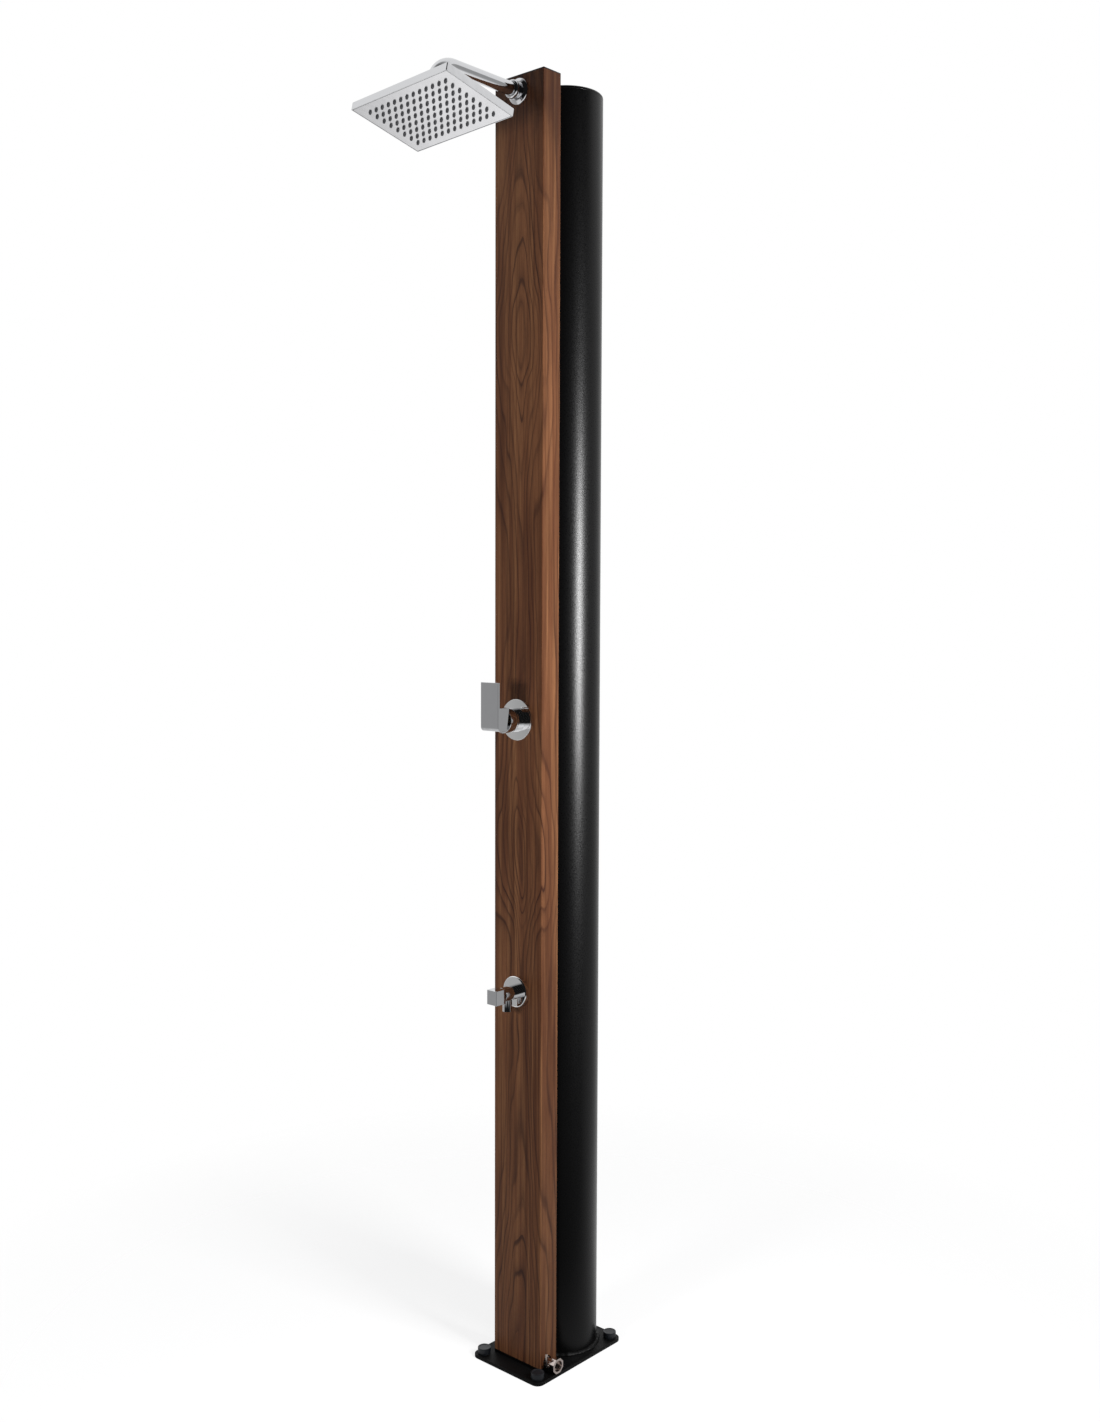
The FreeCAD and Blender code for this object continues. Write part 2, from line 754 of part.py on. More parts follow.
def sliding_disc():
    """The ceramic disc with the carrier that the lever's stem pushes up and down."""
    back = sliding_disc_back()
    disc_front = back + disc_thick - free_gap
    disc_r = cartridge_cavity_r * 0.7
    disc = rod(disc_r, disc_front - back, mixer_axis(back), OUT)
    carrier = rod(disc_r * 0.8, carrier_front() - disc_front, mixer_axis(disc_front), OUT)
    pocket = rod(disc_r * 0.6, disc_thick / 3, mixer_axis(back), OUT)
    eye_back = stem_ball_out - stem_ball_r - free_gap
    eye = rod(stem_ball_r + free_gap, carrier_front() - eye_back, mixer_axis(eye_back), OUT)
    return disc.fuse(carrier).cut([pocket, eye])


def guide_slot():
    """The slot that the lever's stem swings in, through the guide."""
    half_width = stem_width / 2 + slide_gap
    half_height = guide_r * 0.86
    return box(-half_width, half_width, column_front - sleeve_end, column_front,
               mixer_height - half_height, mixer_height + half_height)


def cartridge_guide():
    flange_back = carrier_front() + free_gap
    flange_front = cavity_front() - free_gap
    end = cartridge_front() + cartridge_boss_length - free_gap
    flange = rod(cartridge_cavity_r - free_gap, flange_front - flange_back, mixer_axis(flange_back), OUT)
    neck = rod(guide_r, end - flange_front, mixer_axis(flange_front), OUT)
    pin_hole = rod(pin_r, guide_r * 4, mixer_axis(pivot_out) - X * guide_r * 2, X)
    return flange.fuse(neck).cut([guide_slot(), pin_hole])


def guide_pin():
    length = guide_r * 1.9
    return rod(pin_r, length, mixer_axis(pivot_out) - X * length / 2, X)


def lever_stem():
    bar_back = pivot_out - stem_height * 0.45
    bar = box(-stem_width / 2, stem_width / 2, column_front - stem_end_out, column_front - bar_back,
              mixer_height - stem_height / 2, mixer_height + stem_height / 2)
    shaft = rod(stem_ball_r * 0.7, bar_back - stem_ball_out, mixer_axis(stem_ball_out), OUT)
    ball = Part.makeSphere(stem_ball_r, mixer_axis(stem_ball_out))
    hole = rod(pin_r + run_gap, stem_width * 2, mixer_axis(pivot_out) - X * stem_width, X)
    return bar.fuse([shaft, ball]).cut(hole)


def lever_screw_place():
    return on_front((hub_back_bottom + stem_end_out) / 2 + free_gap, mixer_height - hub_bottom)


def mixer_lever():
    """One bent chrome piece: the upright blade in front and the hub block behind its lower end."""
    def at(out, rise):
        return V(-lever_width / 2, column_front - out, mixer_height + rise)
    blade_back = lever_front - blade_thick
    nose = hub_nose_r * (1 - math.sqrt(0.5))
    corners = [at(hub_back_top, hub_top), at(blade_back, hub_top), at(blade_back, blade_top),
               at(lever_front, blade_top), at(lever_front, hub_nose_r - hub_bottom)]
    edges = [Part.LineSegment(a, b).toShape() for a, b in zip(corners, corners[1:])]
    nose_end = at(lever_front - hub_nose_r, -hub_bottom)
    edges.append(Part.Arc(corners[-1], at(lever_front - nose, nose - hub_bottom), nose_end).toShape())
    heel = at(hub_back_bottom, -hub_bottom)
    edges += [Part.LineSegment(nose_end, heel).toShape(), Part.LineSegment(heel, corners[0]).toShape()]
    body = Part.Face(Part.Wire(edges)).extrude(X * lever_width)
    socket = box(-stem_width / 2, stem_width / 2, column_front - stem_end_out, column_front,
                 mixer_height - stem_height / 2, mixer_height + stem_height / 2)
    screw_hole = rod(grub_r, hub_bottom, lever_screw_place(), Z)
    return body.cut([socket, screw_hole])


def grub_screw(place, length):
    screw = rod(grub_r, length, place, Z)
    return screw.cut(prism(6, grub_r, length / 3, place, Z))


def lever_screw():
    recess = small_edge
    length = hub_bottom - stem_height / 2 - recess
    return grub_screw(lever_screw_place() + Z * recess, length)


# ---------------------------------------------------------------- foot tap
def tap_axis(out):
    return on_front(out, tap_height)


def tap_body():
    spigot_start = -(pipe_set_in - pipe_stop)
    shoulder = -(pipe_set_in - short_reach)
    spigot = rod(pipe_r, shoulder - spigot_start, tap_axis(spigot_start), OUT)
    neck = rod(tap_neck_r, tap_rosette_thick - shoulder, tap_axis(shoulder), OUT)
    barrel = rod(tap_barrel_r, tap_barrel_end - tap_rosette_thick, tap_axis(tap_rosette_thick), OUT)
    barrel = softened(barrel, small_edge, rims_at(tap_barrel_end, tap_axis(0), OUT, tap_barrel_r))
    spout = rod(tap_spout_r, tap_spout_drop, tap_axis(tap_spout_out), DOWN)
    chamber_back = tap_chamber_back()
    inlet = rod(water_r, chamber_back - spigot_start, tap_axis(spigot_start), OUT)
    chamber = rod(tap_chamber_r, tap_barrel_end - chamber_back, tap_axis(chamber_back), OUT)
    outlet = rod(tap_chamber_r / 2, tap_spout_drop, tap_axis(tap_spout_out), DOWN)
    seat = rod(aerator_r(), aerator_depth(), tap_axis(tap_spout_out) + DOWN * tap_spout_drop, Z)
    return spigot.fuse([neck, barrel, spout]).cut([inlet, chamber, outlet, seat])


def tap_chamber_back():
    return tap_rosette_thick * 2


def aerator_r():
    return tap_spout_r - tap_spout_r / 7


def aerator_depth():
    return tap_spout_drop / 5


def tap_aerator():
    mouth = tap_axis(tap_spout_out) + DOWN * (tap_spout_drop - free_gap)
    depth = aerator_depth() - free_gap
    body = ring(aerator_r(), aerator_r() * 0.8, depth, mouth, Z)
    screen = rod(aerator_r() * 0.85, depth / 4, mouth + Z * depth / 2, Z)
    hole_r = aerator_r() * 0.16
    holes = [rod(hole_r, depth, mouth, Z)]
    for i in range(6):
        way = V(math.cos(i * math.pi / 3), math.sin(i * math.pi / 3), 0)
        holes.append(rod(hole_r, depth, mouth + way * hole_r * 3, Z))
    return body.fuse(screen.cut(holes))


def tap_rosette():
    """A deep cup that hides the hole in the column."""
    wall = tap_rosette_thick / 6
    edge = tap_rosette_thick / 4
    cup = rod(tap_rosette_r, tap_rosette_thick, tap_axis(0), OUT)
    cup = softened(cup, edge, rims_at(tap_rosette_thick, tap_axis(0), OUT, tap_rosette_r))
    hollow = rod(tap_rosette_r - wall - edge / 2, tap_rosette_thick - wall, tap_axis(0), OUT)
    return cup.cut([hollow, rod(tap_neck_r, tap_rosette_thick, tap_axis(0), OUT)])


def tap_disc_back():
    return tap_chamber_back() + tap_seat_thick + slide_gap


def tap_cavity_length():
    return tap_seat_thick + tap_disc_thick * 2


def quadrant(way, radius, length, out):
    """A wedge of a quarter turn about the tap's axis, centred on one direction."""
    across = OUT.cross(way)
    corner = tap_axis(out)
    reach = way * radius * 1.5
    ends = [corner, corner + reach + across * radius * 1.5, corner + reach - across * radius * 1.5]
    return Part.Face(Part.makePolygon(ends + ends[:1])).extrude(OUT * length)


def tap_headwork():
    """The quarter-turn valve insert in the tap's barrel, with its fixed ceramic disc."""
    back = tap_chamber_back()
    length = tap_barrel_end - back - slide_gap * 10
    body = rod(tap_chamber_r, length, tap_axis(back), OUT)
    cavity_r = tap_disc_r + free_gap
    cavity = rod(cavity_r, tap_cavity_length(), tap_axis(back), OUT)
    bore = rod(tap_spindle_r + run_gap, length, tap_axis(back), OUT)
    window_out = back + tap_cavity_length() * 0.8
    window = rod(tap_spindle_r * 0.7, tap_chamber_r, tap_axis(window_out), DOWN)
    groove_r = (tap_chamber_r + cavity_r) / 2
    groove_start = window_out - tap_spindle_r / 2
    groove = ring(tap_chamber_r, groove_r, tap_spindle_r, tap_axis(groove_start), OUT)
    seat = rod(cavity_r, tap_seat_thick, tap_axis(back), OUT)
    opening = ring(tap_disc_r * 0.85, tap_disc_r * 0.35, tap_seat_thick, tap_axis(back), OUT)
    wedges = [opening.common(quadrant(way, tap_disc_r, tap_seat_thick, back)) for way in (Z, DOWN)]
    return group([body.cut([cavity, bore, window, groove]), seat.cut(wedges)])


def tap_spindle():
    """The moving disc covers the fixed disc's openings until it is turned."""
    back = tap_disc_back()
    disc = rod(tap_disc_r, tap_disc_thick, tap_axis(back), OUT)
    disc = disc.cut([quadrant(way, tap_disc_r, tap_disc_thick, back) for way in (X, LEFT)])
    hub = rod(tap_disc_r * 0.35, tap_disc_thick, tap_axis(back), OUT)
    shaft_start = back + tap_disc_thick
    shaft = rod(tap_spindle_r, tap_spindle_end() - shaft_start, tap_axis(shaft_start), OUT)
    return disc.fuse([hub, shaft])


def tap_spindle_end():
    return (tap_handle_back + tap_handle_front) / 2 + tap_spindle_r / 2


def tap_handle():
    half_width, half_height = tap_handle_width / 2, tap_handle_height / 2
    block = box(-half_width, half_width, column_front - tap_handle_front, column_front - tap_handle_back,
                tap_height - half_height, tap_height + half_height)
    block = block.makeFillet(small_edge, block.Edges)
    socket = rod(tap_spindle_r, tap_spindle_end() - tap_handle_back, tap_axis(tap_handle_back), OUT)
    return block.cut([socket, rod(grub_r, half_height, tap_screw_place(), Z)])


def tap_screw_place():
    return on_front(tap_spindle_end() - tap_spindle_r, tap_height - tap_handle_height / 2)


def tap_screw():
    recess = small_edge
    return grub_screw(tap_screw_place() + Z * recess, tap_handle_height / 2 - tap_spindle_r - recess)


# ---------------------------------------------------------------- shower arm and ball joint
def arm_axis(out):
    return on_front(out, arm_height)


def arm_thread_start():
    return -(pipe_set_in - pipe_stop - column_wall)


def arm_leg_end():
    return ball_centre.z + ball_sleeve_low + ball_sleeve_floor


def shower_arm():
    start = arm_axis(arm_flange_thick / 2)
    points = [start, arm_axis(arm_reach), V(0, ball_centre.y, arm_leg_end())]
    tube = bent_tube(points, arm_bend, arm_r, arm_wall)
    length = arm_flange_thick / 2 - arm_thread_start()
    thread = ring(arm_thread_r, arm_r - arm_wall - arm_wall / 2, length, arm_axis(arm_thread_start()), OUT)
    return tube.fuse(thread)


def arm_flange():
    """A domed cover over the arm's thread and the wall elbow's screws."""
    wall = arm_flange_thick / 6
    shoulder = arm_flange_thick * 0.45
    slope_r = arm_r + (arm_flange_r - arm_r) * 0.35
    outline = [(arm_flange_r, 0), (arm_flange_r, shoulder), (slope_r + wall, arm_flange_thick),
               (arm_r, arm_flange_thick), (arm_r, arm_flange_thick - wall),
               (slope_r, arm_flange_thick - wall), (arm_flange_r - wall, shoulder), (arm_flange_r - wall, 0)]
    return turned(outline, arm_axis(0), OUT)


def arm_collar():
    end = arm_collar_out + arm_collar_length
    bead = ring(arm_collar_r, arm_r, arm_collar_length, arm_axis(arm_collar_out), OUT)
    for out in (arm_collar_out, end):
        bead = softened(bead, arm_collar_length * 0.3, rims_at(out, arm_axis(0), OUT, arm_collar_r))
    return bead


def swivel_ball():
    """The ball, its neck and the sleeve that takes the end of the arm."""
    sleeve_foot = ball_centre + Z * ball_sleeve_low
    body = Part.makeSphere(ball_r, ball_centre)
    neck = rod(ball_neck_r, ball_sleeve_low, ball_centre, Z)
    sleeve = rod(arm_r + ball_sleeve_wall, ball_sleeve_length, sleeve_foot, Z)
    socket = rod(arm_r, ball_sleeve_length, sleeve_foot + Z * ball_sleeve_floor, Z)
    bore_r = ball_neck_r * 0.6
    bore = rod(bore_r, ball_r * 3 + ball_sleeve_low, ball_centre - Z * ball_r * 1.5, Z)
    return body.fuse([neck, sleeve]).cut([socket, bore])


def sphere_zone(inner_r, outer_r, low_angle, high_angle):
    """A ring cut from a spherical shell, between two angles from its axis; its centre is the origin."""
    def rim(radius, angle):
        return V(radius * math.sin(math.radians(angle)), 0, radius * math.cos(math.radians(angle)))
    middle = (low_angle + high_angle) / 2
    outline = Part.Wire([
        Part.LineSegment(rim(inner_r, low_angle), rim(outer_r, low_angle)).toShape(),
        Part.Arc(rim(outer_r, low_angle), rim(outer_r, middle), rim(outer_r, high_angle)).toShape(),
        Part.LineSegment(rim(outer_r, high_angle), rim(inner_r, high_angle)).toShape(),
        Part.Arc(rim(inner_r, high_angle), rim(inner_r, middle), rim(inner_r, low_angle)).toShape()])
    return Part.Face(outline).revolve(V(), Z, 360)


def on_ball(shape, tilted=True, rolled=True):
    """Move a piece modelled about the ball's centre to its place, as the ball joint stands."""
    turn = FreeCAD.Rotation(Z, head_turn)
    if tilted:
        turn = turn.multiply(FreeCAD.Rotation(X, head_tilt))
    if rolled:
        turn = turn.multiply(FreeCAD.Rotation(Y, head_roll))
    shape.Placement = FreeCAD.Placement(ball_centre, turn).multiply(shape.Placement)
    return shape


def ball_ring():
    inner = ball_r + run_gap
    return on_ball(sphere_zone(inner, inner + ball_ring_thick, 75, 98), False, False)


def ball_gasket():
    inner = ball_r + run_gap
    return on_ball(sphere_zone(inner, inner + ball_ring_thick, 121, 150), True, False)


def head_top():
    """The height of the cover's flat top, from the ball's centre."""
    return head_thick - head_drop


def swivel_nut():
    lip = math.radians(nut_lip_angle)
    lip_r, lip_z = cup_r * math.sin(lip), cup_r * math.cos(lip)
    low = head_top() + free_gap
    body = rod(nut_r, nut_top - low, V(0, 0, low), Z)
    body = softened(body, (nut_top - lip_z) * 0.6, rims_at(nut_top, V(), Z, nut_r))
    mouth = Part.makeCone(lip_r, lip_r + (nut_top - lip_z), nut_top - lip_z, V(0, 0, lip_z), Z)
    bore = rod(head_neck_r, -low, V(0, 0, low), Z)
    return on_ball(body.cut([Part.makeSphere(cup_r), mouth, bore]))


# ---------------------------------------------------------------- rain head
def head_block(inset, low, high, radius):
    """A slab of the head's outline, between two heights above its underside."""
    return rounded_box(head_width / 2 - inset, inset - head_depth / 2, head_depth / 2 - inset,
                       low - head_drop, high - head_drop, radius)


def face_inset():
    return head_wall + face_plate_gap


def mat_bottom():
    return face_plate_recess + face_plate_thick


def head_cover():
    """The chrome casing with the cup that takes the ball."""
    shell = head_block(0, 0, head_thick, head_corner_r)
    top_edges = [e for e in shell.Edges if min(v.Z for v in e.Vertexes) > head_top() - 1e-6]
    shell = shell.makeFillet(head_wall * 0.7, top_edges)
    cavity = head_block(head_wall, 0, head_thick - head_wall, head_corner_r - head_wall)
    boss_low = head_drop - cup_r - head_wall
    boss = rod(head_neck_r, head_drop - boss_low - free_gap, V(0, 0, boss_low - head_drop), Z)
    bore = rod(ball_neck_r * 0.8, head_drop, V(0, 0, -head_drop), Z)
    return on_ball(shell.cut(cavity).fuse(boss).cut([Part.makeSphere(cup_r), bore]))


def nozzle_places(height):
    """The grid of nozzles, along the head's width and depth."""
    x_start = -(nozzle_columns - 1) * nozzle_pitch / 2
    y_start = -(nozzle_rows - 1) * nozzle_pitch / 2
    return [V(x_start + i * nozzle_pitch, y_start + j * nozzle_pitch, height - head_drop)
            for i in range(nozzle_columns) for j in range(nozzle_rows)]


def head_face_plate():
    plate = head_block(face_inset(), face_plate_recess, mat_bottom(), head_corner_r / 2)
    holes = [rod(nozzle_base_r, face_plate_thick, p, Z) for p in nozzle_places(face_plate_recess)]
    return on_ball(plate.cut(holes))


def nozzle_mat():
    """A silicone sheet with a nub through each hole of the face plate."""
    sheet = head_block(face_inset(), mat_bottom(), mat_bottom() + mat_thick, head_corner_r / 2)
    collar = face_plate_thick
    nubs = []
    for p in nozzle_places(mat_bottom()):
        nubs.append(rod(nozzle_base_r, collar, p - Z * collar, Z))
        tip = nozzle_out + face_plate_recess
        nubs.append(Part.makeCone(nozzle_base_r, nozzle_tip_r, tip, p - Z * collar, DOWN))
    length = mat_thick + collar + nozzle_out + face_plate_recess
    bores = [rod(nozzle_bore_r, length, p, Z) for p in nozzle_places(-nozzle_out)]
    return on_ball(sheet.fuse(nubs).cut(bores))


# ---------------------------------------------------------------- drain and supply valve
def valve_at(side):
    """A point on the valve's axis, by its distance from the column's side face."""
    return valve_axis + X * (column_side + side)


def valve_chamber_end():
    return valve_union_end - valve_thread_length - (valve_union_end - valve_union_start) / 10


def valve_body():
    tail_start = riser_offset + pipe_stop - column_side
    tail = rod(pipe_r, -tail_start - column_wall / 2, valve_at(tail_start), X)
    body = rod(valve_body_r, valve_chamber_end() + column_wall, valve_at(-column_wall), X)
    stem_foot = valve_at(valve_stem_side)
    boss = rod(valve_boss_r, valve_boss_out, stem_foot, OUT)
    chamber_start = valve_stem_side - (valve_chamber_end() - valve_stem_side)
    chamber = rod(valve_chamber_r, valve_chamber_end() - chamber_start, valve_at(chamber_start), X)
    bore = rod(valve_bore_r, chamber_start - tail_start, valve_at(tail_start), X)
    stem_hole = rod(valve_stem_r + run_gap, valve_boss_out, stem_foot, OUT)
    return tail.fuse([body, boss]).cut([chamber, bore, stem_hole])


def valve_seats():
    """The two rings that press on the ball."""
    depth = valve_chamber_end() - valve_stem_side
    ball = Part.makeSphere(valve_ball_r + run_gap, valve_at(valve_stem_side))
    seats = []
    for way in (X, LEFT):
        start = valve_at(valve_stem_side) + way * depth / 2
        seats.append(ring(valve_chamber_r, valve_bore_r, depth / 2, start, way).cut(ball))
    return group(seats)


def valve_union():
    """The eight-sided end with the female thread."""
    length = valve_union_end - valve_union_start
    body = prism(8, valve_union_flats, length, valve_at(valve_union_start), X)
    seat = rod(valve_body_r, valve_chamber_end() - valve_union_start, valve_at(valve_union_start), X)
    water = rod(valve_bore_r, length, valve_at(valve_union_start), X)
    thread_start = valve_union_end - valve_thread_length
    thread = rod(valve_thread_r, valve_thread_length, valve_at(thread_start), X)
    return body.cut([seat, water, thread])


def valve_slab(width, out_low, out_high, low, high):
    """A flat bar beside the valve's stem, by its distance in front of it and its height above it."""
    at = valve_at(valve_stem_side)
    return box(at.x - width / 2, at.x + width / 2, at.y - out_high, at.y - out_low, at.z + low, at.z + high)


def stem_tang():
    """The flat at the stem's inner end that turns the ball; it stands along the ball's bore."""
    return valve_slab(valve_stem_r, valve_ball_r * 0.65, valve_ball_r + run_gap, -valve_stem_r, valve_stem_r)


def valve_ball():
    """Shown closed: the ball's bore stands upright, across the pipe."""
    centre = valve_at(valve_stem_side)
    bore = rod(valve_bore_r, valve_ball_r * 4, centre - Z * valve_ball_r * 2, Z)
    return Part.makeSphere(valve_ball_r, centre).cut([bore, stem_tang()])


def valve_hub_out():
    return valve_boss_out + free_gap


def valve_stem():
    start = valve_ball_r + run_gap
    end = valve_hub_out() + valve_lever_thick + valve_nut_thick
    return rod(valve_stem_r, end - start, valve_at(valve_stem_side) + OUT * start, OUT).fuse(stem_tang())


def valve_lever():
    """A cranked strip: its arm stands further out than its hub, so that it swings over the union."""
    hub_out = valve_hub_out()
    arm_out = valve_union_flats / 2 + free_gap * 2
    arm_front = arm_out + valve_lever_thick
    crank_low = valve_nut_flats / math.sqrt(3) + free_gap
    crank_high = crank_low + valve_lever_thick
    foot = valve_slab(valve_lever_width, hub_out, hub_out + valve_lever_thick, 0, crank_high)
    crank = valve_slab(valve_lever_width, hub_out, arm_front, crank_low, crank_high)
    arm = valve_slab(valve_lever_width, arm_out, arm_front, crank_low, valve_lever_top)
    top = valve_height + valve_lever_top
    arm = softened(arm, valve_lever_width * 0.4, lambda e: min(v.Z for v in e.Vertexes) > top - 1e-6
                   and abs(e.Vertexes[0].Y - e.Vertexes[-1].Y) > valve_lever_thick / 2)
    start = valve_at(valve_stem_side) + OUT * hub_out
    hub = rod(valve_boss_r, valve_lever_thick, start, OUT)
    return foot.fuse([crank, arm, hub]).cut(rod(valve_stem_r, valve_lever_thick, start, OUT))


def valve_lever_nut():
    place = valve_at(valve_stem_side) + OUT * (valve_hub_out() + valve_lever_thick)
    nut = prism(6, valve_nut_flats, valve_nut_thick, place, OUT)
    return nut.cut(rod(valve_stem_r, valve_nut_thick, place, OUT))


# ---------------------------------------------------------------- write the pieces
PIECES = [
    base_plate, bolt_caps, column_foot, column_profile, column_top_cap, frame_screws,
    tank_tube, tank_top_cap, tank_cap_seal, tank_floor, tank_brackets,
    pipe_elbows, pipe_tees, cold_pipes, mixer_elbows, hot_downpipe, mixed_riser, crossing_nipples,
    crossing_seals, crossing_nuts, hot_pickup, wall_elbow,
    mixer_body, clamp_nuts, mixer_rosette, mixer_sleeve, cartridge_housing, cartridge_nut, fixed_disc,
    sliding_disc, cartridge_guide, guide_pin, lever_stem, mixer_lever, lever_screw,
    tap_body, tap_aerator, tap_rosette, tap_headwork, tap_spindle, tap_handle, tap_screw,
    shower_arm, arm_flange, arm_collar, swivel_ball, ball_ring, ball_gasket, swivel_nut,
    head_cover, head_face_plate, nozzle_mat,
    valve_body, valve_seats, valve_union, valve_ball, valve_stem, valve_lever, valve_lever_nut,
]

os.makedirs("parts", exist_ok=True)
for piece in PIECES:
    shape = piece()
    solids = shape.Solids
    flaws = "" if shape.isValid() and solids else "  NOT A SOUND SOLID"
    print(f"{piece.__name__:20s} solids {len(solids):3d}  volume {sum(s.Volume for s in solids):12.1f}{flaws}")
    shape.exportStep(f"parts/{piece.__name__}.step")
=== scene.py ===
# %% [markdown]
# # An outdoor shower post
#
# The post stands in a garden or by a pool. A flat column wrapped in walnut film carries the chrome
# fittings and hides the pipes. A black tube behind it holds water that the sun warms.
#
# The solids come from a CAD model, and this lesson dresses them. Each step says what the piece is on
# the real post, how it could be made in Blender, and why this way was chosen. Lengths are in metres,
# with X to the right of the column's front, Y to its back and Z up.

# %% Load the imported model
import json

import bmesh
import bpy
import numpy as np
from mathutils import Matrix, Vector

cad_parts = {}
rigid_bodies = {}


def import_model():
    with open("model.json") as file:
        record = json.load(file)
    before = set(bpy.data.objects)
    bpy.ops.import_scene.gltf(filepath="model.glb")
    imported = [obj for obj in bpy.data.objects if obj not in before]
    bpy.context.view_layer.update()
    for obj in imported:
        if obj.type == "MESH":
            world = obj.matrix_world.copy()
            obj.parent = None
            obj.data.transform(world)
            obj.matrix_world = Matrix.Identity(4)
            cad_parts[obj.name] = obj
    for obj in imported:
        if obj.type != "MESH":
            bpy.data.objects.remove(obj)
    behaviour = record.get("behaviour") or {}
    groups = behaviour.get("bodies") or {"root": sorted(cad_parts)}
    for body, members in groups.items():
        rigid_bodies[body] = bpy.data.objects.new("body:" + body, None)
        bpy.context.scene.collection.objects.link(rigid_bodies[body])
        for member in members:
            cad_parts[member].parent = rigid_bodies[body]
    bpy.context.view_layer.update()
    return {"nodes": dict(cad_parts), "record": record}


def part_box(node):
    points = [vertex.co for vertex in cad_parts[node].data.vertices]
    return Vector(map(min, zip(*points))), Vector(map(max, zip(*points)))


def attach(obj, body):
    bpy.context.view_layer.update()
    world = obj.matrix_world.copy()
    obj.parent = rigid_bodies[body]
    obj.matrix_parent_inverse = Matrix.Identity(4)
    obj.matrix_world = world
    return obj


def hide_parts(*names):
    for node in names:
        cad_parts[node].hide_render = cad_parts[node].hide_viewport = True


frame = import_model()
nodes = frame["nodes"]
MM = 0.001

# %% [markdown]
# ## Camera
#
# The photograph looks at the post from its right front corner, from a little above the tap and far
# enough away that the uprights stay nearly upright. Blender's own "look at" constraint would do, but
# three angles say exactly how the camera is turned, so its axes are worked out from them.

# %% Camera
azimuth, elevation, roll = np.radians([42.004, 3.997, 0.184])
away = np.array([np.sin(azimuth) * np.cos(elevation), -np.cos(azimuth) * np.cos(elevation),
                 np.sin(elevation)])
level = np.array([np.cos(azimuth), np.sin(azimuth), 0.0])
above = np.cross(away, level)
camera_data = bpy.data.cameras.new("camera")
camera_data.lens = 36.81
camera_data.sensor_width = 36.0
camera = bpy.data.objects.new("camera", camera_data)
bpy.context.scene.collection.objects.link(camera)
pose = np.eye(4)
pose[:3, 0] = level * np.cos(roll) + above * np.sin(roll)
pose[:3, 1] = above * np.cos(roll) - level * np.sin(roll)
pose[:3, 2] = away
pose[:3, 3] = (1.6881, -1.8736, 1.3210)
camera.matrix_world = Matrix(pose.tolist())
bpy.context.scene.camera = camera
bpy.context.scene.view_settings.view_transform = "Standard"
print("camera stands", round(float(np.hypot(*pose[:2, 3])), 2), "m from the post")

# %% [markdown]
# ## Building shader trees
#
# Every finish below is a tree of shader nodes. Making and linking each node by hand takes three lines
# a time, so one small helper makes a node, sets its options and fills its sockets at once. The others
# are shorthand for the nodes that come up again and again.

# %% Shader helpers
def shade(tree, kind, sockets=None, **options):
    """Adds a node. `sockets` gives each input a number, a colour or another node's output."""
    node = tree.nodes.new("ShaderNode" + kind)
    for name, value in options.items():
        setattr(node, name, value)
    for name, value in (sockets or {}).items():
        if isinstance(value, bpy.types.NodeSocket):
            tree.links.new(value, node.inputs[name])
        else:
            node.inputs[name].default_value = value
    return node


def maths(tree, operation, *values):
    """A Math node's result, such as maths(tree, "ADD", a, 0.5)."""
    return shade(tree, "Math", dict(enumerate(values)), operation=operation).outputs[0]


def ranged(tree, value, low, high, to_low=0.0, to_high=1.0, **options):
    """Carries a value from low..high to to_low..to_high, and stops at both ends."""
    sockets = {"Value": value, "From Min": low, "From Max": high, "To Min": to_low, "To Max": to_high}
    return shade(tree, "MapRange", sockets, **options).outputs[0]


def blend(tree, amount, first, second):
    """The colour that lies `amount` of the way from the first to the second.

    A Mix node keeps its two colour inputs at places 6 and 7 and its colour output at place 2.
    """
    return shade(tree, "Mix", {0: amount, 6: first, 7: second}, data_type="RGBA").outputs[2]


def set_curve(node, points):
    """Draws a Float Curve node's curve through (place, value) points."""
    curve = node.mapping.curves[0]
    curve.points[0].location, curve.points[1].location = points[0], points[-1]
    for at, value in points[1:-1]:
        curve.points.new(at, value)
    node.mapping.update()


def set_ramp(node, stops):
    """Sets a Color Ramp's stops, from low to high: each a place with a grey or with a colour."""
    elements = node.color_ramp.elements
    elements[0].position, elements[1].position = stops[0][0], stops[-1][0]
    for at, _ in stops[1:-1]:
        elements.new(at)
    for element, (_, colour) in zip(elements, stops):
        element.color = (*np.broadcast_to(colour, 3), 1)


def bumped(tree, shader, height, distance, strength=1.0):
    """Feeds a height into the shader's normal through a Bump node."""
    bump = shade(tree, "Bump", {"Height": height, "Distance": distance, "Strength": strength})
    tree.links.new(bump.outputs["Normal"], shader.inputs["Normal"])


def by_ray(tree, to_camera, to_mirrors, to_others):
    """The shader that a ray meets: it depends on where the ray comes from."""
    seen = shade(tree, "LightPath").outputs
    mirrored = maths(tree, "MAXIMUM", seen["Is Glossy Ray"], seen["Is Transmission Ray"])
    first = shade(tree, "MixShader", {0: mirrored, 1: to_others, 2: to_mirrors}).outputs[0]
    return shade(tree, "MixShader", {0: seen["Is Camera Ray"], 1: first, 2: to_camera}).outputs[0]


print("shader helpers ready")

# %% [markdown]
# Grain, handling marks and the walnut figure are each needed by several finishes, or are long enough to
# deserve a name. Such an effect is a node group: a tree of its own with named inputs and outputs, which
# a finish places like any other node and sets with its own values.

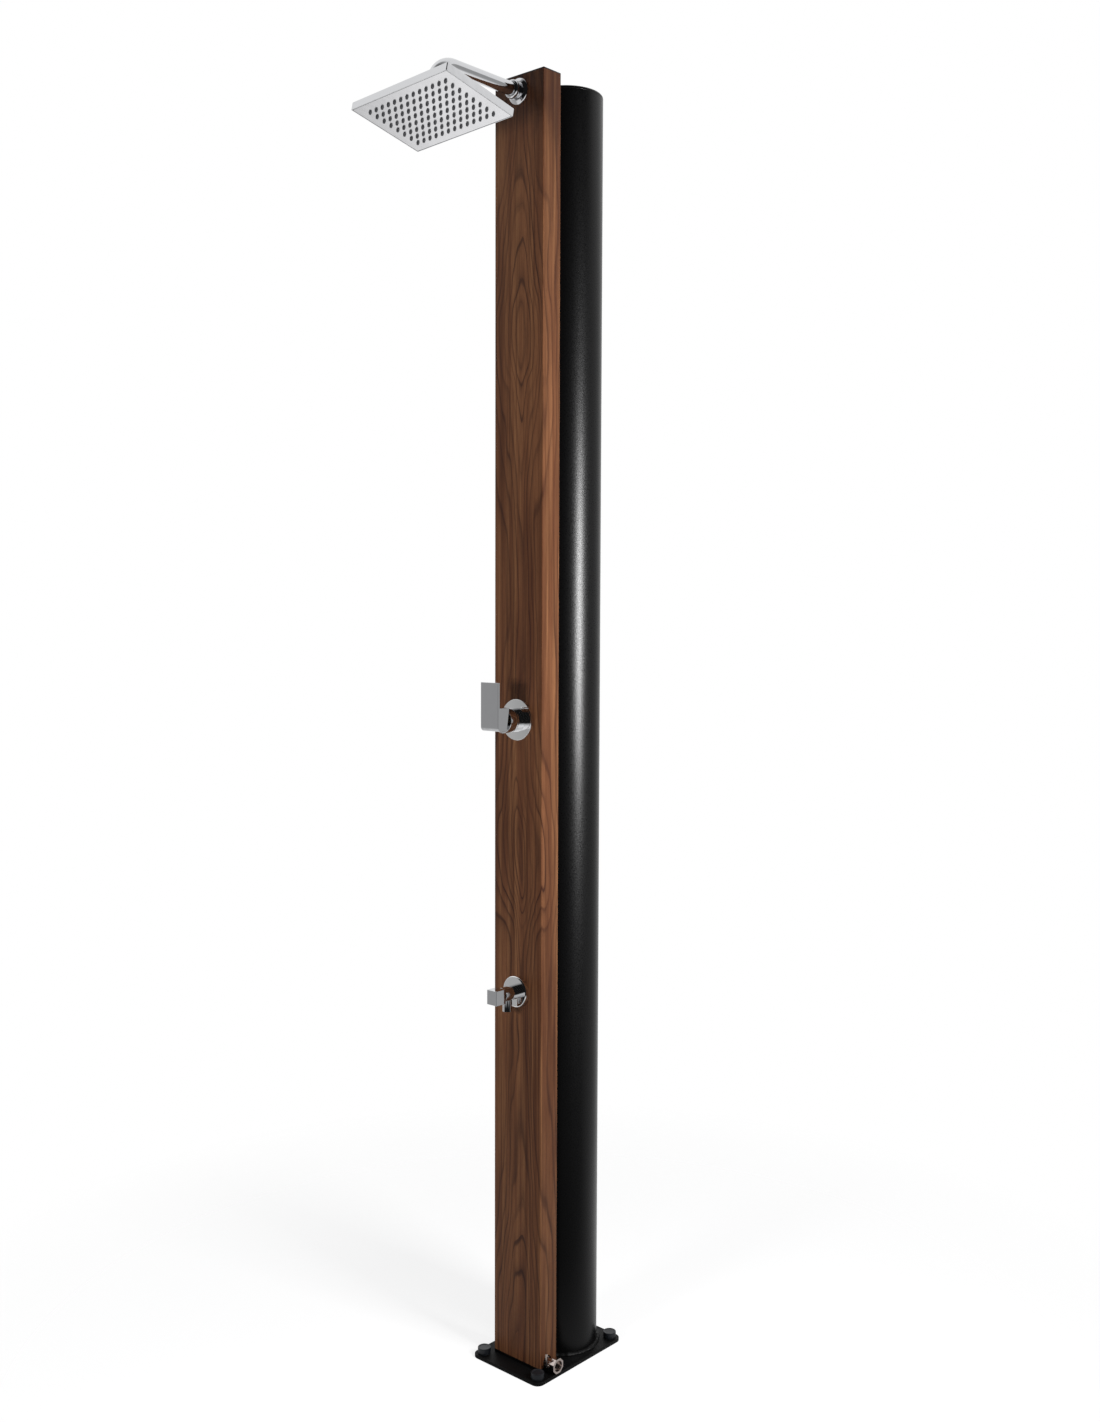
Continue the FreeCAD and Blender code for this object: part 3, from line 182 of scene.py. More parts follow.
# %% Groups and finishes
def open_group(title, inputs, outputs):
    """A new node group with float inputs and outputs of the kinds named."""
    tree = bpy.data.node_groups.new(title, "ShaderNodeTree")
    for name, value in inputs.items():
        socket = tree.interface.new_socket(name, in_out="INPUT", socket_type="NodeSocketFloat")
        socket.default_value = value
    for name, kind in outputs.items():
        tree.interface.new_socket(name, in_out="OUTPUT", socket_type="NodeSocket" + kind)
    source = tree.nodes.new("NodeGroupInput")
    target = tree.nodes.new("NodeGroupOutput")
    return tree, source.outputs, target.inputs


def place_group(tree, group, **values):
    """Puts a group into a material with its own values, and returns its outputs."""
    node = tree.nodes.new("ShaderNodeGroup")
    node.node_tree = group
    for name, value in values.items():
        node.inputs[name.replace("_", " ")].default_value = value
    return node.outputs


def new_finish(title, colour, roughness, **sockets):
    """A material whose Principled shader starts with these plain values."""
    material = bpy.data.materials.new(title)
    material.use_nodes = True
    tree = material.node_tree
    shader = tree.nodes["Principled BSDF"]
    shader.inputs["Base Color"].default_value = (*colour, 1)
    shader.inputs["Roughness"].default_value = roughness
    for name, value in sockets.items():
        shader.inputs[name.replace("_", " ")].default_value = value
    material.diffuse_color = (*colour, 1)
    return material, tree, shader


print("group helpers ready")

# %% [markdown]
# ## Fine grain
#
# Powder coat, moulded plastic and cast metal all have a skin that is not quite smooth. It could be
# modelled, but the bumps are a fraction of a millimetre, so a noise texture gives the height for a
# Bump node instead. The same group also gives flecks, which change how sharply single spots shine.

# %% Grain group
grain, g_in, g_out = open_group("fine grain", {"Scale": 900.0}, {"Height": "Float", "Fleck": "Float"})
place = shade(grain, "TexCoord").outputs["Object"]
coarse = shade(grain, "TexNoise", {"Vector": place, "Scale": g_in["Scale"], "Detail": 3.0,
                                   "Roughness": 0.6}).outputs["Fac"]
cell_scale = maths(grain, "MULTIPLY", g_in["Scale"], 1.7)
cells = shade(grain, "TexVoronoi", {"Vector": place, "Scale": cell_scale}, feature="SMOOTH_F1")
hollows = maths(grain, "MULTIPLY", cells.outputs["Distance"], 0.5)
grain.links.new(maths(grain, "ADD", coarse, hollows), g_out["Height"])
grain.links.new(ranged(grain, coarse, 0.42, 0.66), g_out["Fleck"])
print("group:", grain.name)

# %% [markdown]
# ## Handling marks
#
# Metal that hands and water touch is never evenly clean: wiping leaves long faint smears and drops
# leave small dull rings. Both change only how sharp the reflections are, so the group gives two masks,
# one for smears and one for dried drops, and each finish decides how much of them it shows.

# %% Handling group
handled, h_in, h_out = open_group("handling marks", {"Smear Scale": 14.0, "Drop Scale": 90.0},
                                  {"Smear": "Float", "Drops": "Float"})
place = shade(handled, "TexCoord").outputs["Object"]
longer = shade(handled, "Mapping", {"Vector": place, "Scale": (1.0, 1.0, 0.35)}).outputs[0]
smears = shade(handled, "TexNoise", {"Vector": longer, "Scale": h_in["Smear Scale"], "Detail": 5.0,
                                     "Roughness": 0.62, "Distortion": 0.6})
handled.links.new(ranged(handled, smears.outputs["Fac"], 0.4, 0.75), h_out["Smear"])
drops = shade(handled, "TexVoronoi", {"Vector": place, "Scale": h_in["Drop Scale"], "Randomness": 1.0})
off_rim = maths(handled, "ABSOLUTE", maths(handled, "SUBTRACT", drops.outputs["Distance"], 0.16))
rim = ranged(handled, off_rim, 0.05, 0.0)
lot = shade(handled, "SeparateColor", {0: drops.outputs["Color"]}).outputs[0]
dried = maths(handled, "GREATER_THAN", lot, 0.72)
handled.links.new(maths(handled, "MULTIPLY", rim, dried), h_out["Drops"])
print("group:", handled.name)

# %% [markdown]
# ## Walnut rings
#
# The column is aluminium wrapped in a film printed with walnut. A flat board shows pointed arches and
# long closed eyes in its middle and straight lines at its sides, because the saw cuts the tree's rings
# at a slant. A picture of wood would repeat, and a plain wave texture has no eyes. So the group works
# out a tree, whose axis runs a few millimetres in front of the board and wanders from side to side.
#
# Turns = distance / ring width + rise(height) · pull(distance) + waver, where distance =
# sqrt((x - wander)² + depth²). Each whole turn is one line. Where the rise falls and climbs again, the
# rings close into an eye. The pull is strong near the axis and weak at the sides, so the side lines
# stay straight. A line is darkest where its ring ends, and each ring draws by lot how strongly it is
# printed, because a real board's rings are never all alike.

# %% Walnut rings
figure, f_in, f_out = open_group("walnut figure", {"Ring Width": 0.0076, "Front": -0.08},
                                 {"Line": "Float", "Tone And Head Shade": "Float", "Dark": "Float", "Light": "Float",
                                  "Fibre": "Float", "Pore": "Float"})
RISE_POINTS = [(0.0, 0.07), (0.05, 0.11), (0.097, 0.22), (0.136, 0.33), (0.2, 0.42), (0.27, 0.44),
               (0.335, 0.40), (0.37, 0.22), (0.41, 0.07), (0.45, 0.18), (0.5, 0.34), (0.56, 0.42),
               (0.63, 0.43), (0.69, 0.36), (0.74, 0.26), (0.77, 0.17), (0.807, 0.05), (0.845, 0.16),
               (0.895, 0.30), (0.93, 0.42), (1.0, 0.50)]
RING_SHADES = [(0.0, 0.75), (0.04, 0.55), (0.2, 0.26), (0.5, 0.02), (0.80, 0.12), (0.89, 0.85),
               (0.95, 1.0), (1.0, 0.8)]
place = shade(figure, "TexCoord").outputs["Object"]
axes = shade(figure, "SeparateXYZ", {0: place})
stretched = shade(figure, "Mapping", {"Vector": place, "Scale": (1.0, 1.0, 0.16)}).outputs[0]
slow = shade(figure, "TexNoise", {"Vector": stretched, "Scale": 16.0, "Detail": 2.0, "Roughness": 0.5})
slow_axes = shade(figure, "SeparateColor", {0: slow.outputs["Color"]})
wander = ranged(figure, slow_axes.outputs[0], 0.0, 1.0, -0.030, 0.038)
across = maths(figure, "SUBTRACT", axes.outputs[0], wander)
inward = maths(figure, "MULTIPLY", maths(figure, "SUBTRACT", axes.outputs[1], f_in["Front"]), 1.25)
depth = maths(figure, "ADD", inward, 0.007)
squares = maths(figure, "ADD", maths(figure, "POWER", across, 2.0), maths(figure, "POWER", depth, 2.0))
distance = maths(figure, "SQRT", squares)

share = maths(figure, "DIVIDE", axes.outputs[2], 2.2)
rise = shade(figure, "FloatCurve", {"Value": share})
set_curve(rise, RISE_POINTS)
pull = ranged(figure, distance, 0.025, 0.075, 12.0, 2.0, interpolation_type="SMOOTHSTEP")
ripple = shade(figure, "TexNoise", {"Vector": stretched, "Scale": 30.0, "Detail": 3.0, "Roughness": 0.6})
waver = maths(figure, "MULTIPLY", maths(figure, "SUBTRACT", ripple.outputs["Fac"], 0.5), 0.5)
rings_out = maths(figure, "DIVIDE", distance, f_in["Ring Width"])
rings_up = maths(figure, "MULTIPLY", rise.outputs[0], pull)
turns = maths(figure, "ADD", maths(figure, "ADD", rings_out, rings_up), waver)

line = shade(figure, "ValToRGB", {0: maths(figure, "FRACT", turns)})
set_ramp(line, RING_SHADES)
patches = shade(figure, "TexNoise", {"Vector": stretched, "Scale": 30.0, "Detail": 1.0})
strong = ranged(figure, patches.outputs["Fac"], 0.3, 0.7, 0.55, 1.0)
lot = shade(figure, "TexWhiteNoise", {"W": maths(figure, "FLOOR", turns)}, noise_dimensions="1D")
drawn = ranged(figure, lot.outputs["Value"], 0.0, 1.0, 0.35, 1.15)
strong = maths(figure, "MULTIPLY", strong, drawn)
figure.links.new(maths(figure, "MULTIPLY", line.outputs[0], strong), f_out["Line"])
print("group:", figure.name, "with", len(RISE_POINTS), "points in its rise")

# %% [markdown]
# Rings alone look drawn. On walnut the ground is paler and darker in long patches, fine streaks and
# fibres run along the grain, and the open pores are short dark dashes. Noise that is stretched along
# the height gives all of them without a seam. The tone also follows a curve along the height: lighter
# near the middle, and darker at the top, where a painted shade stands for the shower head's shadow.

# %% Walnut tone with painted head shade, streaks and pores
# The curve is lighter near the middle; its last points are a painted shade under the shower head.
TONE_AND_HEAD_SHADE_POINTS = [(0.0, 0.44), (0.2, 0.46), (0.39, 0.45), (0.5, 0.51), (0.6, 0.58), (0.68, 0.52), (0.8, 0.5),
               (0.9, 0.5), (0.945, 0.42), (0.965, 0.30), (1.0, 0.28)]
tone_curve_with_shade = shade(figure, "FloatCurve", {"Value": share})
set_curve(tone_curve_with_shade, TONE_AND_HEAD_SHADE_POINTS)
tone_shift_with_shade = maths(figure, "SUBTRACT", tone_curve_with_shade.outputs[0], 0.5)
figure.links.new(maths(figure, "ADD", slow_axes.outputs[1], tone_shift_with_shade), f_out["Tone And Head Shade"])
threads = shade(figure, "Mapping", {"Vector": place, "Scale": (1.0, 1.0, 0.02)}).outputs[0]
streaks = shade(figure, "TexNoise", {"Vector": threads, "Scale": 105.0, "Detail": 2.0, "Distortion": 0.4})
streak_axes = shade(figure, "SeparateColor", {0: streaks.outputs["Color"]})
for channel, name in enumerate(("Dark", "Light")):
    figure.links.new(ranged(figure, streak_axes.outputs[channel], 0.46, 0.66), f_out[name])
fibres = shade(figure, "TexNoise", {"Vector": threads, "Scale": 300.0, "Detail": 5.0, "Roughness": 0.8})
figure.links.new(fibres.outputs["Fac"], f_out["Fibre"])
dashes = shade(figure, "Mapping", {"Vector": place, "Scale": (1.0, 1.0, 0.045)}).outputs[0]
pores = shade(figure, "TexVoronoi", {"Vector": dashes, "Scale": 900.0})
figure.links.new(ranged(figure, pores.outputs["Distance"], 0.28, 0.1), f_out["Pore"])
print("group:", figure.name, "puts out", ", ".join(f_out.keys()[:6]))

# %% [markdown]
# ## The finishes
#
# The powder coat is black with a fine orange peel that breaks the highlight into grains. Its roughness
# is low and its bump does the spreading, because a rough black shader would turn grey all over under
# the lamp. The film is walnut brown under a satin lacquer. The fittings are chromed brass, and the
# valve by the foot is nickel. The colours are linear values read for each surface, and a constant such
# as the specular level sits on the shader itself.

# %% Powder coat, black plastic and rubber
coat, tree, shader = new_finish("black powder coat", (0.0030, 0.0030, 0.0032), 0.4,
                                Specular_IOR_Level=0.25)
peel = place_group(tree, grain, Scale=480.0)
marks = place_group(tree, handled, Smear_Scale=5.0, Drop_Scale=40.0)
rough = ranged(tree, peel["Fleck"], 0.0, 1.0, 0.33, 0.25)
rough = maths(tree, "ADD", rough, maths(tree, "MULTIPLY", marks["Smear"], 0.02))
tree.links.new(rough, shader.inputs["Roughness"])
bumped(tree, shader, peel["Height"], 0.00008, 1.0)

plate_coat, tree, shader = new_finish("black plate coat", (0.0035, 0.0035, 0.0037), 0.5,
                                      Specular_IOR_Level=0.12)
peel = place_group(tree, grain, Scale=900.0)
tree.links.new(ranged(tree, peel["Fleck"], 0.0, 1.0, 0.58, 0.42), shader.inputs["Roughness"])
bumped(tree, shader, peel["Height"], 0.00022, 0.6)

cap_plastic, tree, shader = new_finish("black moulded plastic", (0.012, 0.014, 0.018), 0.42,
                                       Specular_IOR_Level=0.5)
peel = place_group(tree, grain, Scale=1600.0)
marks = place_group(tree, handled, Smear_Scale=30.0)
rough = maths(tree, "ADD", maths(tree, "MULTIPLY", marks["Smear"], 0.18), 0.36)
tree.links.new(rough, shader.inputs["Roughness"])
bumped(tree, shader, peel["Height"], 0.0001, 0.4)

rubber, tree, shader = new_finish("black rubber", (0.015, 0.015, 0.015), 0.7, Specular_IOR_Level=0.3)
peel = place_group(tree, grain, Scale=2200.0)
bumped(tree, shader, peel["Height"], 0.0001, 0.5)
print("black finishes ready")

# %% [markdown]
# The film is coloured as a grainer paints: a ground that follows the tone, with its painted shade at
# the top, then dark and light streaks, fibres, ring lines and pores, each laid over the last through
# its mask. The fibres and pores also press a very shallow relief into the lacquer.

# %% Walnut film
walnut, tree, shader = new_finish("walnut film", (0.10, 0.045, 0.025), 0.45, Specular_IOR_Level=0.2)
wood = place_group(tree, figure)
# The ground follows the tone, which also carries the painted shade at the column's top.
ground = shade(tree, "ValToRGB", {0: wood["Tone And Head Shade"]})
set_ramp(ground, [(0.30, (0.130, 0.048, 0.022)), (0.5, (0.245, 0.098, 0.045)),
                  (0.66, (0.340, 0.146, 0.066))])
fibre = ranged(tree, wood["Fibre"], 0.36, 0.66)
STAINS = [(wood["Dark"], 0.55, (0.105, 0.040, 0.018)), (wood["Light"], 0.6, (0.460, 0.215, 0.096)),
          (fibre, 0.62, (0.100, 0.036, 0.017)), (wood["Line"], 0.92, (0.038, 0.012, 0.009)),
          (wood["Pore"], 0.35, (0.030, 0.012, 0.009))]
colour = ground.outputs[0]
for mask, cover, stain in STAINS:
    colour = blend(tree, maths(tree, "MULTIPLY", mask, cover), colour, (*stain, 1))
tree.links.new(colour, shader.inputs["Base Color"])
tree.links.new(ranged(tree, wood["Fibre"], 0.0, 1.0, 0.36, 0.5), shader.inputs["Roughness"])
height = maths(tree, "SUBTRACT", maths(tree, "MULTIPLY", wood["Fibre"], 0.4), wood["Pore"])
bumped(tree, shader, height, 0.00008, 0.5)
print("walnut film ready with", len(STAINS), "stains over its ground")

# %% [markdown]
# Polished metal is told apart by its colour and by how sharp its reflections are. One function makes
# them all: the handling marks dull the polish a little, and a faint long-wave bump keeps flat faces
# from mirroring like glass. The rosettes and the fittings are the same chrome, but the rosettes get a
# lit copy whose paler colour paints in extra brightness.

# %% Metals
def polished(title, colour, roughness, smear, drop, wave):
    """A metal whose roughness is `roughness` plus shares of the smear and drop masks."""
    material, tree, shader = new_finish(title, colour, roughness, Metallic=1.0)
    marks = place_group(tree, handled, Smear_Scale=22.0, Drop_Scale=160.0)
    rough = maths(tree, "ADD", maths(tree, "MULTIPLY", marks["Smear"], smear), roughness)
    rough = maths(tree, "ADD", rough, maths(tree, "MULTIPLY", marks["Drops"], drop))
    tree.links.new(rough, shader.inputs["Roughness"])
    place = shade(tree, "TexCoord").outputs["Object"]
    swell = shade(tree, "TexNoise", {"Vector": place, "Scale": 60.0, "Detail": 1.0})
    bumped(tree, shader, swell.outputs["Fac"], wave, 1.0)
    return material


chrome = polished("polished chrome", (0.66, 0.665, 0.68), 0.05, 0.07, 0.10, 0.00012)
# A lit copy of the chrome: its paler colour paints extra brightness into the rosettes' reflections.
lit_chrome = polished("chrome painted brighter", (0.93, 0.935, 0.94), 0.04, 0.05, 0.08, 0.00012)
face_steel = polished("polished steel", (0.74, 0.74, 0.755), 0.13, 0.10, 0.08, 0.0001)
nickel = polished("nickel plating", (0.66, 0.57, 0.53), 0.10, 0.12, 0.10, 0.0001)
brass = polished("brass", (0.72, 0.50, 0.21), 0.26, 0.15, 0.1, 0.0001)
steel = polished("zinced steel", (0.55, 0.55, 0.56), 0.30, 0.15, 0.1, 0.0001)
print("metals:", ", ".join(m.name for m in (chrome, lit_chrome, face_steel, nickel, brass, steel)))

# %% [markdown]
# The plain mouldings inside and on the fittings are plastics, silicone and ceramic. They share the
# grain group, with their own colour, scale and shine.

# %% Plastics, silicone and ceramic
def moulded(title, colour, roughness, scale, depth):
    """A plain moulded finish with grain in its height and its colour."""
    material, tree, shader = new_finish(title, colour, roughness)
    skin = place_group(tree, grain, Scale=scale)
    darker = tuple(c * 0.82 for c in colour)
    shift = maths(tree, "MULTIPLY", skin["Fleck"], 0.6)
    tree.links.new(blend(tree, shift, (*colour, 1), (*darker, 1)), shader.inputs["Base Color"])
    bumped(tree, shader, skin["Height"], depth, 0.5)
    return material


FINISHES = {
    "black_coat": coat, "black_plastic": cap_plastic, "wood_film": walnut, "black_rubber": rubber,
    "steel": steel, "polished_steel": face_steel, "chrome": chrome, "nickel": nickel, "brass": brass,
    "grey_plastic": moulded("grey plastic", (0.22, 0.23, 0.24), 0.5, 1500.0, 0.0001),
    "white_pipe": moulded("white pipe", (0.75, 0.75, 0.73), 0.38, 700.0, 0.00008),
    "white_plastic": moulded("white plastic", (0.80, 0.80, 0.78), 0.3, 1500.0, 0.00005),
    "ceramic_disc": moulded("ceramic", (0.82, 0.80, 0.76), 0.12, 2500.0, 0.00002),
    "grey_silicone": moulded("grey silicone", (0.075, 0.077, 0.082), 0.45, 2500.0, 0.00006),
}
for part in frame["record"]["subparts"]:
    mesh = nodes[part["node"]].data
    mesh.materials.clear()
    mesh.materials.append(FINISHES[part["material_slot"]])
print("finishes:", len(FINISHES))

# %% [markdown]
# ## Shapes from arrays
#
# The visible fittings are turned, bent or moulded, with soft edges that catch the light. Blender's
# primitives have hard edges and few facets, so each shape is worked out as a grid of points: one
# direction runs along an outline, the other round an axis or along a path. numpy computes the whole
# grid at once, and the same function turns every grid into faces.

# %% Grids and outlines
def cells_of(rows, columns, loop_rows, loop_columns):
    """The four corners of every cell in a grid whose point (i, j) has the number i·columns + j."""
    down, beyond = np.arange(rows - (not loop_rows)), np.arange(columns - (not loop_columns))
    i, j = np.meshgrid(down, beyond, indexing="ij")
    below, beside = (i + 1) % rows, (j + 1) % columns
    corners = (i * columns + j, i * columns + beside, below * columns + beside, below * columns + j)
    return np.stack(corners, axis=-1).reshape(-1, 4)


def shell(points, loop_rows=True, loop_columns=True, capped=False):
    """A grid of points as (points, faces).

    A row or a column that loops is joined to the first one after the last. `capped` closes the first
    and the last row with a face each.
    """
    rows, columns = points.shape[:2]
    faces = cells_of(rows, columns, loop_rows, loop_columns).tolist()
    if capped:
        faces += [list(range(columns)), list(range((rows - 1) * columns, rows * columns))]
    return points.reshape(-1, 3), faces


def rounded(corners, radii, steps=5):
    """A closed outline whose corners are arcs.

    At a corner with half angle h, an arc of radius r starts r / tan(h) away along each side and its
    centre lies r / sin(h) along the line that halves the corner.
    """
    corners = np.asarray(corners, float)
    radii = np.broadcast_to(np.asarray(radii, float), len(corners))[:, None]
    back, ahead = np.roll(corners, 1, 0) - corners, np.roll(corners, -1, 0) - corners
    back /= np.linalg.norm(back, axis=1, keepdims=True)
    ahead /= np.linalg.norm(ahead, axis=1, keepdims=True)
    half = np.arccos(np.clip((back * ahead).sum(1, keepdims=True), -1, 1)) / 2
    middle = (back + ahead) / np.linalg.norm(back + ahead, axis=1, keepdims=True)
    centre = corners + middle * radii / np.sin(half)
    first = corners + back * radii / np.tan(half) - centre
    last = corners + ahead * radii / np.tan(half) - centre
    turn, t = (np.pi - 2 * half)[:, None], np.linspace(0, 1, steps + 1)[None, :, None]
    arc = (np.sin((1 - t) * turn) * first[:, None] + np.sin(t * turn) * last[:, None]) / np.sin(turn)
    return (centre[:, None] + arc).reshape(-1, corners.shape[1])


def spokes(count, side, other):
    """Unit vectors all round, cos a · side + sin a · other, from two that stand square to each other."""
    angle = np.linspace(0, 2 * np.pi, count, endpoint=False)[:, None]
    return np.cos(angle) * side + np.sin(angle) * other


def turned(outline, base, axis, sides=96):
    """An outline of (radius, distance along the axis) carried once round the axis.

    Point = base + distance · axis + radius · spoke, with the spokes square to the axis.
    """
    outline, axis = np.asarray(outline, float), np.asarray(axis, float)
    side = np.cross(axis, (0.0, 0.0, 1.0) if abs(axis[2]) < 0.9 else (1.0, 0.0, 0.0))
    side /= np.linalg.norm(side)
    spoke = spokes(sides, side, np.cross(axis, side))
    return shell(np.asarray(base) + outline[:, 1, None, None] * axis + outline[:, 0, None, None] * spoke)


def together(*shells):
    """Several shells as one: each one's face numbers are raised by the points before it."""
    starts = np.cumsum([0] + [len(points) for points, _ in shells[:-1]])
    faces = [[n + int(start) for n in face] for (_, own), start in zip(shells, starts) for face in own]
    return np.concatenate([points for points, _ in shells]), faces


print("a ring of four cells has the corners", cells_of(2, 4, False, True).tolist())

# %% [markdown]
# A surface becomes a piece in the same steps each time: its mesh is filled, points that meet are
# merged, and its faces are turned outwards. Then it gets its finish and is fixed to the body that
# carries it, so that it moves when that body moves. A Weighted Normal modifier keeps large flat faces
# flat next to their small round edges.

# %% From a surface to a piece
def fixed(mesh, name, body, slot, stands_for):
    """The mesh as a piece with its finish, on the body that carries it."""
    mesh.materials.clear()
    mesh.materials.append(FINISHES[slot])
    piece = bpy.data.objects.new(name, mesh)
    bpy.context.scene.collection.objects.link(piece)
    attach(piece, body)
    if stands_for:
        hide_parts(*stands_for)
    return piece


def add_piece(name, surface, body, slot, *stands_for):
    """Makes a surface's mesh with its faces outwards, and fixes it as a piece."""
    points, faces = surface
    mesh = bpy.data.meshes.new(name)
    mesh.from_pydata(np.asarray(points).tolist(), [], faces)
    work = bmesh.new()
    work.from_mesh(mesh)
    bmesh.ops.remove_doubles(work, verts=work.verts, dist=1e-6)
    bmesh.ops.recalc_face_normals(work, faces=work.faces)
    work.to_mesh(mesh)
    work.free()
    mesh.shade_smooth()
    piece = fixed(mesh, name, body, slot, stands_for)
    piece.modifiers.new("even normals", "WEIGHTED_NORMAL").keep_sharp = True
    print(f"{name}: {len(mesh.vertices)} points, {len(mesh.polygons)} faces")
    return piece


# %% [markdown]
# Some solids have holes and notches that no simple grid gives, and the CAD model already has them
# right. Its meshes are loose triangles, so a copy is merged, its flat triangles are joined again, and
# a Bevel modifier rounds the edges that the paint or the film would round.

# %% Softened copies of CAD solids
def soften(node, name, body, slot, width, segments=2, angle=35.0):
    """A merged copy of a CAD node with its sharp edges bevelled."""
    mesh = nodes[node].data.copy()
    mesh.name = name
    work = bmesh.new()
    work.from_mesh(mesh)
    bmesh.ops.remove_doubles(work, verts=work.verts, dist=1e-6)
    bmesh.ops.dissolve_limit(work, angle_limit=np.radians(1.0), verts=work.verts, edges=work.edges)
    work.to_mesh(mesh)
    work.free()
    mesh.shade_smooth()
    mesh.set_sharp_from_angle(angle=np.radians(angle))
    piece = fixed(mesh, name, body, slot, [node])
    if width:
        bevel = piece.modifiers.new("soft edges", "BEVEL")
        bevel.width, bevel.segments, bevel.limit_method = width, segments, "ANGLE"
        bevel.angle_limit, bevel.harden_normals = np.radians(angle), True
    print(f"{name}: {len(mesh.polygons)} faces before its bevel")
    return piece


print("piece helpers ready")

# %% [markdown]
# ## Places
#
# Every fitting stands on the column's front face, so its outline is written as distances out from
# that face. Reading the face and the fittings' axes from the CAD nodes keeps the two models together.

# %% Places on the column
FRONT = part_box("column_profile")[0].y
OUT = np.array([0.0, -1.0, 0.0])
UP = np.array([0.0, 0.0, 1.0])
SIDE = np.array([1.0, 0.0, 0.0])


def on_face(node):
    """The point of the column's front face that lies behind the middle of a round fitting."""
    low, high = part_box(node)
    return np.array([0.0, FRONT, (low.z + high.z) / 2])


MIXER, TAP, ARM = on_face("mixer_rosette"), on_face("tap_rosette"), on_face("arm_flange")
tank_low, tank_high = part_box("tank_tube")
TANK = np.array([0.0, (tank_low.y + tank_high.y) / 2, tank_low.z])
TANK_R = (tank_high.x - tank_low.x) / 2
print("column face at", round(FRONT, 4), "tank radius", round(TANK_R, 4))

# %% [markdown]
# ## Tank
#
# The tube is rolled and welded steel, closed with a pressed lid. A cylinder primitive would do for it,
# but its few sides would break the long highlight, so an outline is turned in 192 steps. The lid's
# skirt has the groove for its seal.

# %% Tank tube and lid
tube_length = tank_high.z - tank_low.z
tube_wall = 3 * MM
bore_r = TANK_R - tube_wall
tube = rounded([(TANK_R, 0), (TANK_R, tube_length), (bore_r, tube_length), (bore_r, 0)],
               np.array([0.2, 0.5, 0.2, 0.2]) * MM, 3)
add_piece("tank_shell", turned(tube, TANK, UP, 192), "post", "black_coat", "tank_tube")

lid_low, lid_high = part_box("tank_top_cap")
lid_height, skirt_end = lid_high.z - tank_high.z, lid_low.z - tank_high.z
seal_low, seal_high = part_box("tank_cap_seal")
groove_mid = (seal_low.z + seal_high.z) / 2 - tank_high.z
half_groove = 1.8 * MM
groove_top, groove_end = groove_mid + half_groove, groove_mid - half_groove
skirt_r = bore_r - 0.06 * MM
groove_r, inner_r = skirt_r - 1.75 * MM, TANK_R - 4.5 * MM
lid = rounded([(0, lid_height), (TANK_R, lid_height), (TANK_R, 0), (skirt_r, 0), (skirt_r, groove_top),
               (groove_r, groove_top), (groove_r, groove_end), (skirt_r, groove_end),
               (skirt_r, skirt_end), (inner_r, skirt_end), (inner_r, 0), (0, 0)],
              np.array([0, 3.5, 0.4, 0.1, 0.1, 0.1, 0.1, 0.1, 0.3, 0.3, 0.3, 0]) * MM, 6)
add_piece("tank_lid", turned(lid, TANK + UP * tube_length, UP, 192), "post", "black_coat", "tank_top_cap")

# %% [markdown]
# A weld bead joins the tube to the plate. It is a quarter round whose size swings a little with the
# angle, slowly where the welder's hand moved and quickly where the pool froze in scales.
#
# Radius = foot + width · (1 + swing(angle)) · cos(t), height = rise · (1 + swing(angle)) · sin(t).

# %% Weld
angle = np.linspace(0, 2 * np.pi, 900, endpoint=False)[None, :]
swing = 0.05 * np.cos(angle * 38) + 0.10 * np.sin(angle * 9 + 1.0) + 0.07 * np.sin(angle * 17)
quarter = np.linspace(0, np.pi / 2, 7)[:, None]
bead_foot, bead_width, bead_rise = TANK_R - 0.5 * MM, 6.1 * MM, 5.0 * MM
bead_r = bead_foot + (bead_width * (1 + swing)) * np.cos(quarter)
bead_z = bead_rise * (1 + swing) * np.sin(quarter)
bead_r = np.concatenate([bead_r, np.full_like(angle, bead_foot)])
bead_z = np.concatenate([bead_z, np.zeros_like(angle)])
bead = np.stack([TANK[0] + bead_r * np.cos(angle), TANK[1] + bead_r * np.sin(angle),
                 TANK[2] + bead_z - 0.1 * MM + 0 * angle], axis=-1)
weld = add_piece("tank_weld", shell(bead), "post", "black_coat")

# %% [markdown]
# ## Plate, column and their edges
#
# The plate, the black foot and the cap are flat shapes with holes and notches. Softened copies keep
# every hole and give the paint's rounding to the edges. The film goes round the column's own small
# radius, which the solid has already. Plate and weld have a rougher coat than the tube, as they lie
# flat where dust settles.

# %% Plate, foot, column and top cap
plate = soften("base_plate", "floor_plate", "post", "black_coat", 0.9 * MM, 3)
plate.data.materials[0] = plate_coat
weld.data.materials[0] = plate_coat
soften("column_foot", "foot_frame", "post", "black_coat", 0.4 * MM)
soften("column_profile", "walnut_column", "post", "wood_film", 0.0, angle=40.0)
soften("column_top_cap", "column_lid", "post", "black_plastic", 0.5 * MM)

# %% [markdown]
# The four anchor bolts hide under black plastic caps. Each cap is a turned cup on a narrower neck,
# slightly sunk in the middle, with a rounded rim. One outline is turned once, and its points are
# repeated at the four places.

